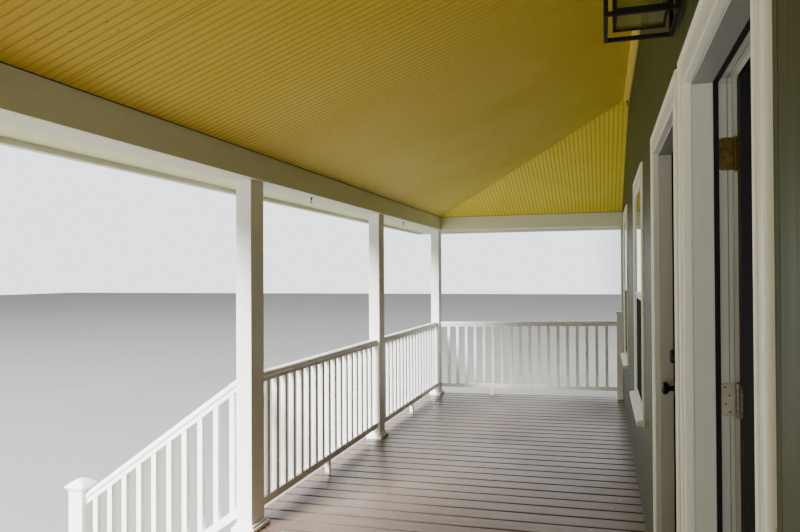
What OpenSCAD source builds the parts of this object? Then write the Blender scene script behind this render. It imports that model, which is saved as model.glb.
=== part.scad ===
// Front porch of a two-door house: a hip-roofed timber porch, five bays long,
// with its stair, railings, sloping beadboard ceiling and the strip of house
// wall that carries it. Millimetres, +Z up, the yard on the -Y side.

/* [Bays] */
// Centre to centre of two posts
bay = 2280; // [1900:10:2600]
// Clear depth from the wall to the inner face of the beams
clear_depth = 2165; // [1900:5:2600]

/* [Heights] */
// Deck surface at the wall, above the ground
deck_height = 940; // [800:10:1100]
// Underside of the beams, above the deck at the wall
beam_bottom = 2030; // [1950:5:2300]
// Beam face that shows below the ceiling
beam_drop = 158; // [120:2:220]
// Fall of the deck toward the yard, for each unit of length
fall = 0.02; // [0.005:0.001:0.03]
// Rise of the ceiling and roof toward the wall, for each unit of length
pitch = 0.35; // [0.28:0.01:0.42]

/* [Posts] */
// Post width along the porch
post_w = 150; // [120:5:200]
// Post depth across the porch
post_d = 100; // [90:5:150]
// Setback of the post from the faces of the beam
post_inset = 38; // [20:2:50]
// Height of the lower step of the base trim
base_low = 26; // [16:1:30]
// Reach of the lower step of the base trim
base_reach = 25; // [18:1:34]
// Height of the whole base trim
base_top = 42; // [34:1:50]
// Height of the short posts that end the railing at the wall
wall_newel_h = 1005; // [960:5:1100]
// Width of the short posts at the wall
wall_newel_w = 90; // [70:5:120]
// Depth of the short posts at the wall
wall_newel_d = 70; // [50:5:90]

/* [Eaves and roof] */
// Reach of the eave from the inner face of the beam
eave_out = 400; // [360:5:500]
// Thickness of soffit and fascia boards
trim_board = 19; // [12:1:25]
// Depth of the fascia below the soffit
fascia_drop = 12; // [0:1:30]
// Width of the gutter
gutter_w = 118; // [90:2:140]
// Height of the gutter
gutter_h = 105; // [80:1:130]
// Thickness of the gutter metal
gutter_t = 3; // [2:0.5:5]
// Depth of the rafters
rafter_h = 140; // [120:5:190]
// Thickness of the rafters
rafter_t = 38; // [30:1:50]
// Largest distance from rafter to rafter
rafter_pitch = 760; // [500:10:900]
// Thickness of the ceiling boards
ceiling_t = 12; // [8:1:20]
// Thickness of the roof boards with their shingles
roof_t = 28; // [20:1:40]
// Reach of the shingles beyond the fascia
drip = 22; // [10:1:40]
// Side of the cove along the wall under the ceiling
cove = 42; // [25:1:60]

/* [Railings] */
// Top of the railing above the deck
rail_h = 914; // [860:2:940]
// Clear space under the bottom rail
rail_gap = 93; // [60:1:120]
// Width of the top rail
top_rail_w = 64; // [50:1:80]
// Height of the top rail
top_rail_h = 60; // [45:1:80]
// Width of the bottom rail
low_rail_w = 44; // [38:1:60]
// Height of the bottom rail
low_rail_h = 48; // [36:1:60]
// Side of a square baluster
baluster = 34; // [28:1:36]
// Largest distance from baluster to baluster
baluster_pitch = 119; // [100:1:130]
// First baluster of a front rail from its post
front_end_gap = 118; // [60:1:130]
// First baluster of an end rail from its post
end_end_gap = 112; // [60:1:130]
// First baluster of a stair rail from its newel
stair_end_gap = 68; // [50:1:110]

/* [Deck] */
// Thickness of the deck boards
deck_board_t = 25; // [19:1:32]
// Reach of the deck boards beyond the posts
deck_lip = 38; // [36:1:60]
// Height of joists and rim
joist_h = 184; // [140:2:220]
// Thickness of joists and rim
joist_t = 38; // [30:1:50]
// Largest distance from joist to joist
joist_pitch = 620; // [300:10:800]
// Side of a pier
pier_w = 300; // [250:10:400]
// Width of a skirt board
skirt_board = 90; // [60:5:140]
// Slot between two skirt boards
skirt_slot = 22; // [12:1:40]

/* [Stair] */
// Number of risers
risers = 5; // [4:1:6]
// Depth of a step
run = 254; // [240:2:300]
// Thickness of a tread
tread_t = 38; // [25:1:50]
// Reach of a tread over its riser
nosing = 25; // [15:1:32]
// Side of a stair newel
newel_w = 110; // [90:2:140]
// Height of a stair newel below its cap
newel_h = 1003; // [960:1:1100]
// Reach of the cap of a stair newel
cap_reach = 21; // [12:1:40]
// Height of the cap of a stair newel
cap_h = 82; // [60:2:110]
// Distance from the last riser to the newel
newel_ahead = 107; // [60:1:200]
// Height of the stair rail above the nosings
stair_rail_h = 878; // [860:2:900]
// Height of the lower stair rail above the nosings
stair_rail_gap = 50; // [30:2:100]

/* [Wall] */
// Thickness of the wall
wall_t = 118; // [110:1:160]
// Height of the floor band between foundation and wall
band_h = 235; // [215:5:300]
// Wall above the roof line
wall_upstand = 110; // [80:5:200]
// Reach of the wall beyond the deck
wall_reach = 60; // [40:5:200]
// Thickness of the foundation wall
foundation_t = 200; // [180:10:300]
// Width of the corner boards
corner_board_w = 90; // [70:5:140]
// Thickness of the corner boards
corner_board_t = 14; // [10:1:25]

/* [Doors] */
// Clear width between the door jambs
door_clear = 846; // [700:2:870]
// Underside of the head jamb above the deck
door_head = 1985; // [1950:5:2040]
// Centre to centre of the two doors
door_pitch = 1110; // [1090:5:1200]
// Middle of the lowest hinge above the bottom of a leaf
hinge_low = 382; // [200:2:400]
// Middle of the highest hinge below the top of a leaf
hinge_drop = 204; // [150:2:300]
// Middle of the middle hinge above the middle of a leaf
hinge_lift = 89; // [0:1:120]
// Middle of the two doors from the middle of the porch
doors_offset = 239; // [-300:1:300]
// Top of the door sill above the deck
sill_top = 55; // [45:1:90]
// Thickness of a door leaf
leaf_t = 44; // [35:1:46]
// Clearance round a door leaf
leaf_gap = 5; // [5:0.5:7]
// Angle at which the near door stands open
near_open = 90; // [0:5:90]
// Height of a hinge
hinge_h = 90; // [76:1:102]
// Height of the knobs above the deck
knob_z = 968; // [900:2:1040]

/* [Casings] */
// Width of the casings of doors and windows
casing_w = 89; // [70:1:95]
// Standing of the casings before the wall boards
casing_out = 7; // [4:1:20]
// Depth of the casings behind the face of the wall boards
casing_in = 14; // [8:1:20]
// Step from a casing to the jamb it covers
reveal = 6; // [3:1:10]
// Width of the raised band along the outer edge of a casing
casing_band = 15; // [8:1:20]
// Width of the raised bead along the inner edge of a casing
casing_bead = 11; // [6:1:16]
// Depth of the flat between band and bead
casing_sink = 3; // [1:0.5:3.5]

/* [Windows] */
// Width of a window opening
window_w = 800; // [600:10:900]
// Height of a window opening
window_h = 1410; // [1100:10:1450]
// Bottom of a window opening above the deck
window_bottom = 620; // [560:10:900]
// Middle of the nearer window from the middle of the doors, beyond one bay
window_near = 72; // [0:1:150]
// Middle of the farther window from the middle of the doors, beyond two bays
window_far = 142; // [60:1:160]

/* [Lantern] */
// Width of the outer cage of the wall lantern along the wall
lantern_w = 228; // [180:2:240]
// Depth of the outer cage of the wall lantern, out from the wall
lantern_d = 205; // [160:5:205]
// Step of the lantern's middle from the middle between the doors
lantern_shift = 50; // [-80:5:80]
// Height of the lantern cage
lantern_h = 300; // [240:5:360]
// Underside of the lantern above the deck
lantern_z = 2190; // [2150:5:2260]

/* [Hidden] */
$fn = 32;

// Lines of the plan, measured from the wall boards and the middle of the porch
side_bays = 2;
post_xs = [for (k = [0 : side_bays]) (k + 0.5) * bay];
corner_x = post_xs[side_bays];
post_y = -(clear_depth + post_inset + post_d / 2);
end_in = corner_x - post_w / 2 - post_inset;
front_beam_w = post_d + 2 * post_inset;
end_beam_w = post_w + 2 * post_inset;
deck_front = post_y - post_d / 2 - deck_lip;
deck_end = corner_x + post_w / 2 + deck_lip;
wall_end = deck_end + wall_reach;
lean = sqrt(1 + pitch * pitch);
ceiling_z0 = beam_bottom + beam_drop;
under_roof = ceiling_t + rafter_h;
roof_top = under_roof + roof_t;
wall_top = ceiling_z0 + pitch * clear_depth + roof_top * lean + wall_upstand;
ground = -deck_height;
skin = 1;

// Stair
rim_y = deck_front + deck_lip;
stair_top = fall * deck_front;
rise = (deck_height + stair_top) / risers;
riser_t = trim_board;
last_riser_y = rim_y - (risers - 1) * run - riser_t;
newel_y = last_riser_y - newel_ahead - newel_w / 2;
stair_x = post_xs[0];
stair_half = stair_x + post_w / 2;
stair_slope = rise / run;

// Doors and windows
jamb_t = 32;
rabbet = 12;
stop_y = wall_t - leaf_t - leaf_gap - 1;
door_xs = [doors_offset - door_pitch / 2, doors_offset + door_pitch / 2];
rough_half = door_clear / 2 + jamb_t;
pin_y = wall_t + 7;
pin_x = door_clear / 2 + rabbet - leaf_gap / 2;
plate_t = leaf_gap / 2 - 0.3;
hinge_edge = -(door_clear / 2 + rabbet - leaf_gap);
latch_edge = -hinge_edge - 2;
leaf_bottom = sill_top + leaf_gap;
leaf_top = door_head + rabbet - leaf_gap;
hinge_zs = [leaf_bottom + hinge_low, (leaf_bottom + leaf_top) / 2 + hinge_lift, leaf_top - hinge_drop];
backset = 60;
deadbolt_z = knob_z + 132;
window_xs = [for (s = [-1, 1], d = [bay + window_near, 2 * bay + window_far]) doors_offset + s * d];
window_top = window_bottom + window_h;
sash_t = 35;
sash_w = 48;
sash_y = casing_in + 12;
meeting_z = window_bottom + window_h / 2;

// The porch in the frame of the part: under the middle of the house's foundation wall
module on_site() {
    translate([0, -foundation_t / 2, deck_height]) children();
}

// A prism along the porch, its outline drawn as [y, z]
module along_porch(x0, x1, outline) {
    translate([x0, 0, 0]) rotate([90, 0, 90]) linear_extrude(x1 - x0) polygon(outline);
}
// A prism across the porch, its outline drawn as [x, z]
module across_porch(y0, y1, outline) {
    translate([0, y1, 0]) rotate([90, 0, 0]) linear_extrude(y1 - y0) polygon(outline);
}
// An upright prism over a plan outline, from the ground to above the wall
module over_plan(outline) {
    translate([0, 0, ground - skin]) linear_extrude(wall_top - ground + 2 * skin) polygon(outline);
}
module block(low, high) {
    translate(low) cube(high - low);
}
module both_ends() {
    children();
    mirror([1, 0, 0]) children();
}

// Everything below the plane that lies a depth under the deck surface
module below_deck(depth) {
    far = 2 * deck_end;
    along_porch(-far, far, [[far, fall * far - depth], [-far, -fall * far - depth], [-far, -far], [far, -far]]);
}

// Height of the roof slopes, inward from the beams' inner faces, for a layer
function plane_z(inward, layer) = ceiling_z0 + pitch * inward + layer * lean;
// Everything below the hipped slopes of a layer, out to a reach beyond the beams' inner faces
module below_hips(layer, reach, over = 0) {
    edge_y = -(clear_depth + reach);
    edge_x = end_in + reach;
    intersection() {
        along_porch(-edge_x, edge_x, [[over, plane_z(clear_depth + over, layer)],
            [edge_y, plane_z(-reach, layer)], [edge_y, -over], [over, -over]]);
        across_porch(edge_y, over, [[-edge_x, -over], [-edge_x, plane_z(-reach, layer)],
            [0, plane_z(end_in, layer)], [edge_x, plane_z(-reach, layer)], [edge_x, -over]]);
    }
}
module hip_shell(low, high, reach) {
    difference() {
        below_hips(high, reach);
        below_hips(low, reach + skin, skin);
    }
}
// Plan of the slope that faces the yard, and of the slope at the right end
function front_slope(reach) = [[-(end_in + reach), -(clear_depth + reach)], [end_in + reach, -(clear_depth + reach)],
    [end_in - clear_depth, 0], [-(end_in - clear_depth), 0]];
function end_slope(reach) = [[end_in - clear_depth, 0], [end_in + reach, -(clear_depth + reach)], [end_in + reach, 0]];

// House wall
module foundation() {
    color([0.62, 0.61, 0.58])
        on_site() block([-wall_end, 0, ground], [wall_end, foundation_t, -band_h]);
}
module floor_band() {
    color([0.3, 0.32, 0.24])
        on_site() block([-wall_end, 0, -band_h], [wall_end, wall_t, 0]);
}
module wall_part(x0, x1, z0) {
    color([0.36, 0.37, 0.26])
        on_site() difference() {
            block([x0, 0, z0], [x1, wall_t, wall_top]);
            for (x = door_xs)
                translate([x, 0, 0]) casing_legs(door_clear / 2 + reveal, door_head + reveal, -skin);
            for (x = window_xs)
                translate([x, 0, 0]) window_hole();
        }
}
module wall_left() {
    wall_part(-wall_end, door_xs[0] - rough_half, 0);
}
module wall_right() {
    wall_part(door_xs[1] + rough_half, wall_end, 0);
}
module wall_header() {
    wall_part(door_xs[0] - rough_half, door_xs[1] + rough_half, door_head + jamb_t);
}
module wall_middle() {
    color([0.36, 0.37, 0.26])
        on_site() difference() {
            block([door_xs[0] + rough_half, 0, 0], [door_xs[1] - rough_half, wall_t, door_head + jamb_t]);
            for (x = door_xs)
                translate([x, 0, 0]) casing_legs(door_clear / 2 + reveal, door_head + reveal, -skin);
        }
}
module corner_boards() {
    color([0.93, 0.93, 0.91])
        on_site() both_ends()
            block([wall_end - corner_board_w, -corner_board_t, 0], [wall_end, 0, beam_bottom]);
}

// Deck
module piers() {
    color([0.66, 0.65, 0.62])
        on_site() intersection() {
            union() {
                for (x = post_xs)
                    both_ends() let (outer = min(x + pier_w / 2, corner_x + post_w / 2))
                        block([outer - pier_w, rim_y, ground], [outer, rim_y + pier_w, 0]);
            }
            below_deck(deck_board_t + joist_h);
        }
}
rim_x = deck_end - deck_lip;
joist_count = ceil((2 * rim_x - joist_t) / joist_pitch);
module under_deck() {
    difference() {
        intersection() {
            children();
            below_deck(deck_board_t);
        }
        below_deck(deck_board_t + joist_h);
    }
}
module deck_joists() {
    step = (2 * rim_x - joist_t) / joist_count;
    color([0.6, 0.5, 0.36])
        on_site() under_deck()
            for (k = [0 : joist_count])
                block([-rim_x + k * step, rim_y + joist_t, ground], [-rim_x + k * step + joist_t, -joist_t, 0]);
}
module deck_rims() {
    color([0.6, 0.5, 0.36])
        on_site() under_deck()
            for (y = [rim_y, -joist_t])
                block([-rim_x, y, ground], [rim_x, y + joist_t, 0]);
}
module deck() {
    color([0.5, 0.43, 0.37])
        on_site() difference() {
            intersection() {
                block([-deck_end, deck_front, ground], [deck_end, 0, deck_board_t]);
                below_deck(0);
            }
            below_deck(deck_board_t);
        }
}
// A skirt panel of upright boards on two rails, outer face at y = 0, running from x = 0
module skirt_panel(length) {
    count = floor((length + skirt_slot) / (skirt_board + skirt_slot));
    step = (length - skirt_board) / (count - 1);
    foot = 20;
    rail = 70;
    translate([0, trim_board, ground + foot]) cube([length, trim_board, rail]);
    translate([0, trim_board, -band_h - joist_h]) cube([length, trim_board, 2 * joist_h]);
    for (k = [0 : count - 1])
        translate([k * step, 0, ground + foot]) cube([skirt_board, trim_board, deck_height]);
}
module skirts() {
    color([0.93, 0.93, 0.91])
        on_site() intersection() {
            both_ends() {
                for (k = [0 : side_bays - 1])
                    let (x0 = post_xs[k] + pier_w / 2, x1 = min(post_xs[k + 1] - pier_w / 2,
                        corner_x + post_w / 2 - pier_w))
                        translate([x0, rim_y, 0]) skirt_panel(x1 - x0);
                translate([corner_x + post_w / 2, rim_y + pier_w, 0]) rotate([0, 0, 90])
                    skirt_panel(-rim_y - pier_w);
            }
            below_deck(deck_board_t + joist_h);
        }
}

// Stair
function step_z(k) = stair_top - k * rise;
module stair_stringers() {
    teeth = [for (k = [1 : risers - 1], e = [0, 1])
        [rim_y - (k - 1 + e) * run, step_z(k) - tread_t]];
    foot_y = rim_y - (risers - 1) * run;
    heel = 240;
    color([0.93, 0.93, 0.91])
        on_site() for (x = [-stair_half, -joist_t / 2, stair_half - joist_t])
            along_porch(x, x + joist_t, concat(teeth,
                [[foot_y, ground], [foot_y + heel, ground], [rim_y, step_z(2) - tread_t - 60]]));
}
module stair_risers() {
    color([0.93, 0.93, 0.91])
        on_site() for (k = [0 : risers - 1])
            let (y = rim_y - k * run, top = k == 0 ? stair_top - deck_board_t : step_z(k) - tread_t,
                low = k == risers - 1 ? ground : step_z(k + 1) - tread_t)
                block([-stair_half, y - riser_t, low], [stair_half, y, top]);
}
module stair_treads() {
    color([0.5, 0.43, 0.37])
        on_site() for (k = [1 : risers - 1])
            block([-stair_half, rim_y - k * run - riser_t - nosing, step_z(k) - tread_t],
                [stair_half, rim_y - (k - 1) * run - riser_t, step_z(k)]);
}
// A square cap flared out from the newel and domed on top, through half widths at shares of its height
module newel_cap(w) {
    tip = w / 2 + cap_reach;
    outline = [[w / 2, 0], [w / 2 + cap_reach * 0.15, 0.15], [w / 2 + cap_reach * 0.5, 0.31], [tip, 0.44], [tip, 0.5],
        [tip * 0.83, 0.68], [tip * 0.55, 0.87], [tip * 0.2, 1]];
    for (k = [0 : len(outline) - 2])
        let (low = outline[k], high = outline[k + 1])
            translate([0, 0, low[1] * cap_h]) linear_extrude((high[1] - low[1]) * cap_h, scale = high[0] / low[0])
                square(2 * low[0], center = true);
}
module stair_newels() {
    color([0.93, 0.93, 0.91])
        on_site() both_ends() translate([stair_x, newel_y, ground]) {
            translate([-newel_w / 2, -newel_w / 2, 0]) cube([newel_w, newel_w, newel_h]);
            translate([0, 0, newel_h]) newel_cap(newel_w);
        }
}

// Railings: built from x = 0 to their length, rising with a slope, z = 0 at the floor line
rail_half = top_rail_w / 2;
rail_outline = [[-rail_half, -6], [-rail_half + 6, 0], [rail_half - 6, 0], [rail_half, -6],
    [rail_half, -top_rail_h * 0.45], [rail_half * 0.7, -top_rail_h * 0.6], [rail_half * 0.6, -top_rail_h],
    [-rail_half * 0.6, -top_rail_h], [-rail_half * 0.7, -top_rail_h * 0.6], [-rail_half, -top_rail_h * 0.45]];
module top_rail(length, slope, top) {
    tilt = atan(slope);
    over = 2 * top_rail_h;
    intersection() {
        translate([0, 0, top]) rotate([0, -tilt, 0]) translate([-over, 0, 0])
            rotate([90, 0, 90]) linear_extrude(length / cos(tilt) + 2 * over) polygon(rail_outline);
        translate([0, -top_rail_w, -over]) cube([length, 2 * top_rail_w, top + length * slope + 2 * over]);
    }
}
module sloped_bar(x0, x1, slope, w, low, high) {
    translate([0, w / 2, 0]) rotate([90, 0, 0]) linear_extrude(w)
        polygon([[x0, low + slope * x0], [x1, low + slope * x1], [x1, high + slope * x1], [x0, high + slope * x0]]);
}
module railing(length, slope, top, gap, end_gap) {
    spaces = ceil((length - 2 * end_gap) / baluster_pitch);
    step = (length - 2 * end_gap) / spaces;
    stretch = sqrt(1 + slope * slope);
    low_top = gap + low_rail_h * stretch;
    sleeve = 14;
    rim = 4;
    top_rail(length, slope, top);
    sloped_bar(0, length, slope, low_rail_w, gap, low_top);
    for (k = [0 : spaces])
        let (x = end_gap + k * step)
            sloped_bar(x - baluster / 2, x + baluster / 2, slope, baluster,
                low_top - skin, top - top_rail_h * stretch + skin);
    for (x = [0, length - sleeve]) {
        sloped_bar(x, x + sleeve, slope, low_rail_w + 2 * rim, gap - rim, low_top + rim);
        sloped_bar(x, x + sleeve, slope, top_rail_w * 0.6 + 2 * rim, top - top_rail_h * stretch - rim, top - top_rail_h / 2);
    }
}
// The block that carries a long bottom rail at x, long enough to be trimmed by the deck
module foot_block(x) {
    translate([x - baluster / 2, -baluster / 2, 0]) cube([baluster, baluster, rail_gap + skin]);
}
module bay_rail(k) {
    length = bay - post_w;
    difference() {
        translate([post_xs[k] + post_w / 2, post_y, fall * post_y]) railing(length, 0, rail_h, rail_gap, front_end_gap);
        base_trim(post_xs[k]);
        base_trim(post_xs[k + 1]);
    }
    difference() {
        translate([post_xs[k] + bay / 2, post_y, fall * post_y - skin]) foot_block(0);
        below_deck(0);
    }
}
module front_rails_right() {
    color([0.95, 0.95, 0.93])
        on_site() for (k = [0 : side_bays - 1]) bay_rail(k);
}
module front_rails_left() {
    color([0.95, 0.95, 0.93])
        on_site() mirror([1, 0, 0]) for (k = [0 : side_bays - 1]) bay_rail(k);
}
// Place of the foot block of an end rail, as a share of its length from the corner post
end_foot = 0.31;
module end_rails() {
    inner_y = post_y + post_d / 2;
    length = -wall_newel_d - inner_y;
    foot_y = inner_y + end_foot * length;
    color([0.95, 0.95, 0.93])
        on_site() both_ends() {
            difference() {
                translate([corner_x, inner_y, fall * inner_y]) rotate([0, 0, 90])
                    railing(length, fall, rail_h, rail_gap, end_end_gap);
                base_trim(corner_x);
            }
            difference() {
                translate([corner_x, foot_y, fall * foot_y - skin]) foot_block(0);
                below_deck(0);
            }
        }
}
module stair_rails() {
    low_y = newel_y + newel_w / 2;
    length = post_y - post_d / 2 - low_y;
    line_z = stair_top + stair_slope * (low_y - rim_y + riser_t + nosing);
    color([0.95, 0.95, 0.93])
        on_site() both_ends() difference() {
            translate([stair_x, low_y, line_z]) rotate([0, 0, 90])
                railing(length, stair_slope, stair_rail_h, stair_rail_gap, stair_end_gap);
            base_trim(stair_x);
        }
}

// Posts, each with a stepped trim round its base, over which the rails are notched
module base_trim(x) {
    upper_share = 0.55;
    for (step = [[base_reach, base_low], [base_reach * upper_share, base_top]])
        translate([0, 0, fall * post_y]) block(
            [x - post_w / 2 - step[0], post_y - post_d / 2 - step[0], -rail_h],
            [x + post_w / 2 + step[0], post_y + post_d / 2 + step[0], step[1]]);
}
module porch_post(x) {
    difference() {
        union() {
            block([x - post_w / 2, post_y - post_d / 2, -rail_h], [x + post_w / 2, post_y + post_d / 2, beam_bottom]);
            base_trim(x);
        }
        below_deck(0);
    }
}
module front_posts() {
    color([0.95, 0.95, 0.93])
        on_site() both_ends() for (k = [0 : side_bays - 1]) porch_post(post_xs[k]);
}
module wall_newel() {
    lid = 16;
    lip = 8;
    difference() {
        union() {
            block([corner_x - wall_newel_w / 2, -wall_newel_d, -rail_h],
                [corner_x + wall_newel_w / 2, 0, wall_newel_h]);
            block([corner_x - wall_newel_w / 2 - lip, -wall_newel_d - lip, wall_newel_h],
                [corner_x + wall_newel_w / 2 + lip, 0, wall_newel_h + lid]);
        }
        below_deck(0);
    }
}
module end_posts() {
    color([0.95, 0.95, 0.93])
        on_site() both_ends() {
            porch_post(corner_x);
            wall_newel();
        }
}

// Beams, rafters, ceiling and roof
module front_beam() {
    out_x = end_in + end_beam_w;
    color([0.93, 0.93, 0.9])
        on_site() intersection() {
            block([-out_x, -clear_depth - front_beam_w, beam_bottom], [out_x, -clear_depth, wall_top]);
            below_hips(ceiling_t, eave_out);
        }
}
module end_beams() {
    color([0.93, 0.93, 0.9])
        on_site() both_ends() intersection() {
            block([end_in, -clear_depth, beam_bottom], [end_in + end_beam_w, 0, wall_top]);
            below_hips(ceiling_t, eave_out);
        }
}
module rafters() {
    reach = eave_out - trim_board;
    half = end_in - clear_depth;
    far_x = end_in + reach;
    far_y = clear_depth + reach;
    commons = ceil(2 * far_x / rafter_pitch);
    jacks = ceil(far_y / rafter_pitch);
    color([0.72, 0.6, 0.42])
        on_site() intersection() {
            hip_shell(ceiling_t, under_roof, reach);
            translate([0, 0, ceiling_z0 - 2 * rafter_h]) linear_extrude(wall_top) {
                translate([-far_x, -rafter_t]) square([2 * far_x, rafter_t]);
                intersection() {
                    polygon(front_slope(reach));
                    for (k = [0 : commons])
                        translate([-far_x + k * 2 * far_x / commons - rafter_t / 2, -far_y]) square([rafter_t, far_y]);
                }
                both_ends() {
                    intersection() {
                        polygon(end_slope(reach));
                        for (k = [1 : jacks])
                            translate([half, -k * far_y / jacks]) square([far_x - half, rafter_t]);
                    }
                    translate([half, 0]) rotate(-45) translate([-rafter_t, -rafter_t / 2])
                        square([far_y * sqrt(2) + 2 * rafter_t, rafter_t]);
                }
            }
        }
}
module ceiling_main() {
    color([0.78, 0.66, 0.26])
        on_site() intersection() {
            hip_shell(0, ceiling_t, 0);
            over_plan(front_slope(0));
        }
}
module ceiling_hips() {
    color([0.83, 0.72, 0.32])
        on_site() both_ends() intersection() {
            hip_shell(0, ceiling_t, 0);
            over_plan(end_slope(0));
        }
}
// Trim along the wall under the ceiling, its lower front edge bevelled
cove_low = plane_z(clear_depth, 0) - 1.2 * cove;
module ceiling_cove() {
    half = end_in - clear_depth;
    top = plane_z(clear_depth, 0);
    bevel = cove / 5;
    step = cove / 8;
    color([0.8, 0.68, 0.28])
        on_site() along_porch(-half, half, [[0, cove_low], [0, top], [-cove, top - pitch * cove],
            [-cove, cove_low + 3 * bevel], [-cove + step, cove_low + 2.6 * bevel], [-cove + step, cove_low + 2 * bevel],
            [-cove + step + bevel, cove_low + bevel], [-cove + 2 * step + bevel, cove_low + bevel], [-cove + 2 * step + 2 * bevel, cove_low]]);
}
module roof() {
    color([0.2, 0.2, 0.21])
        on_site() hip_shell(under_roof, roof_top, eave_out + drip);
}
module roof_flashing() {
    apron = 110;
    metal = 3;
    color([0.75, 0.75, 0.75])
        on_site() intersection() {
            hip_shell(roof_top, roof_top + wall_upstand * 0.6, eave_out + drip);
            union() {
                block([-wall_end, -metal, 0], [wall_end, 0, 2 * wall_top]);
                below_apron(roof_top + metal, apron);
            }
        }
}
module below_apron(layer, apron) {
    intersection() {
        below_hips(layer, eave_out + drip);
        block([-2 * wall_end, -apron, 0], [2 * wall_end, 0, 2 * wall_top]);
    }
}
// A square frame on three sides of the porch, from one reach beyond the beams' inner faces to another
module eave_ring(inner, outer, low, high) {
    difference() {
        block([-end_in - outer, -clear_depth - outer, low], [end_in + outer, 0, high]);
        block([-end_in - inner[0], -clear_depth - inner[1], low - skin], [end_in + inner[0], skin, high + skin]);
    }
}
module soffit() {
    board = 12;
    color([0.93, 0.93, 0.91])
        on_site() eave_ring([end_beam_w, front_beam_w], eave_out - trim_board, beam_bottom, beam_bottom + board);
}
module fascia() {
    inner = eave_out - trim_board;
    color([0.93, 0.93, 0.91])
        on_site() intersection() {
            eave_ring([inner, inner], eave_out, beam_bottom - fascia_drop, wall_top);
            below_hips(under_roof, eave_out);
        }
}
// Gutter, its outline drawn as [out from the fascia, up]
function gutter_path(t) = [[t, gutter_h], [t, t], [gutter_w * 0.62 - t * 0.4, t],
    [gutter_w * 0.8 - t, gutter_h * 0.3], [gutter_w - t, gutter_h * 0.62], [gutter_w - t, gutter_h]];
gutter_outline = concat(gutter_path(0), [for (k = [5 : -1 : 0]) gutter_path(gutter_t)[k]]);
module gutter_run(outline) {
    edge_x = end_in + eave_out;
    edge_y = clear_depth + eave_out;
    wide = gutter_w + skin;
    low = beam_bottom;
    intersection() {
        along_porch(-edge_x - wide, edge_x + wide, [for (p = outline) [-edge_y - p[0], low + p[1]]]);
        over_plan([[-edge_x, -edge_y], [edge_x, -edge_y], [edge_x + wide, -edge_y - wide], [-edge_x - wide, -edge_y - wide]]);
    }
    both_ends() intersection() {
        across_porch(-edge_y - wide, 0, [for (p = outline) [edge_x + p[0], low + p[1]]]);
        over_plan([[edge_x, skin], [edge_x + wide, skin], [edge_x + wide, -edge_y - wide], [edge_x, -edge_y]]);
    }
}
module gutter() {
    color([0.9, 0.9, 0.9])
        on_site() {
            gutter_run(gutter_outline);
            both_ends() across_porch(-gutter_t, 0, [for (p = gutter_path(0)) [end_in + eave_out + p[0], beam_bottom + p[1]]]);
        }
}

// Doors, each drawn about the middle of its opening, hinged on the left
module casing_legs(half, top, low) {
    band = casing_w - casing_band;
    difference() {
        block([-half - casing_w, -casing_out, low], [half + casing_w, casing_in, top + casing_w]);
        block([-half, -casing_out - skin, low - skin], [half, casing_in + skin, top]);
        difference() {
            block([-half - band, -casing_out - skin, low - skin], [half + band, casing_sink - casing_out, top + band]);
            block([-half - casing_bead, -casing_out - 2 * skin, low - 2 * skin],
                [half + casing_bead, casing_sink, top + casing_bead]);
        }
    }
}
module inner_casing_legs(half, top, low) {
    thick = casing_out + casing_in - reveal;
    translate([0, wall_t, 0]) difference() {
        block([-half - casing_w / 2, 0, low], [half + casing_w / 2, thick, top + casing_w]);
        block([-half, -skin, low - skin], [half, thick + skin, top]);
    }
}
module door_casings() {
    color([0.93, 0.93, 0.91])
        on_site() for (x = door_xs) translate([x, 0, 0]) {
            casing_legs(door_clear / 2 + reveal, door_head + reveal, 0);
            inner_casing_legs(door_clear / 2 + rabbet + reveal, door_head + rabbet + reveal, 0);
        }
}
module door_jambs() {
    color([0.9, 0.9, 0.89])
        on_site() for (x = door_xs) translate([x, 0, 0]) difference() {
            block([-rough_half, casing_in, 0], [rough_half, wall_t, door_head + jamb_t]);
            block([-door_clear / 2, 0, -skin], [door_clear / 2, wall_t + skin, door_head]);
            block([-door_clear / 2 - rabbet, stop_y, -skin], [door_clear / 2 + rabbet, wall_t + skin, door_head + rabbet]);
        }
}
module door_sills() {
    nose = 28;
    color([0.45, 0.4, 0.34])
        on_site() for (x = door_xs) translate([x, 0, 0]) {
            along_porch(-door_clear / 2, door_clear / 2, [[wall_t, 0], [wall_t, sill_top], [casing_in, sill_top],
                [-nose, sill_top - 12], [-nose, sill_top - 30], [0, sill_top - 30], [0, 0]]);
            for (side = [-1, 1])
                translate([side * (door_clear + rabbet) / 2, 0, 0])
                    block([-rabbet / 2, stop_y, 0], [rabbet / 2, wall_t, sill_top]);
        }
}
module swung(angle) {
    translate([-pin_x, pin_y, 0]) rotate([0, 0, angle]) translate([pin_x, -pin_y, 0]) children();
}
module near_door_place() {
    on_site() translate([door_xs[1], 0, 0]) swung(near_open) children();
}
module far_door_place() {
    on_site() translate([door_xs[0], 0, 0]) mirror([1, 0, 0]) children();
}
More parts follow.
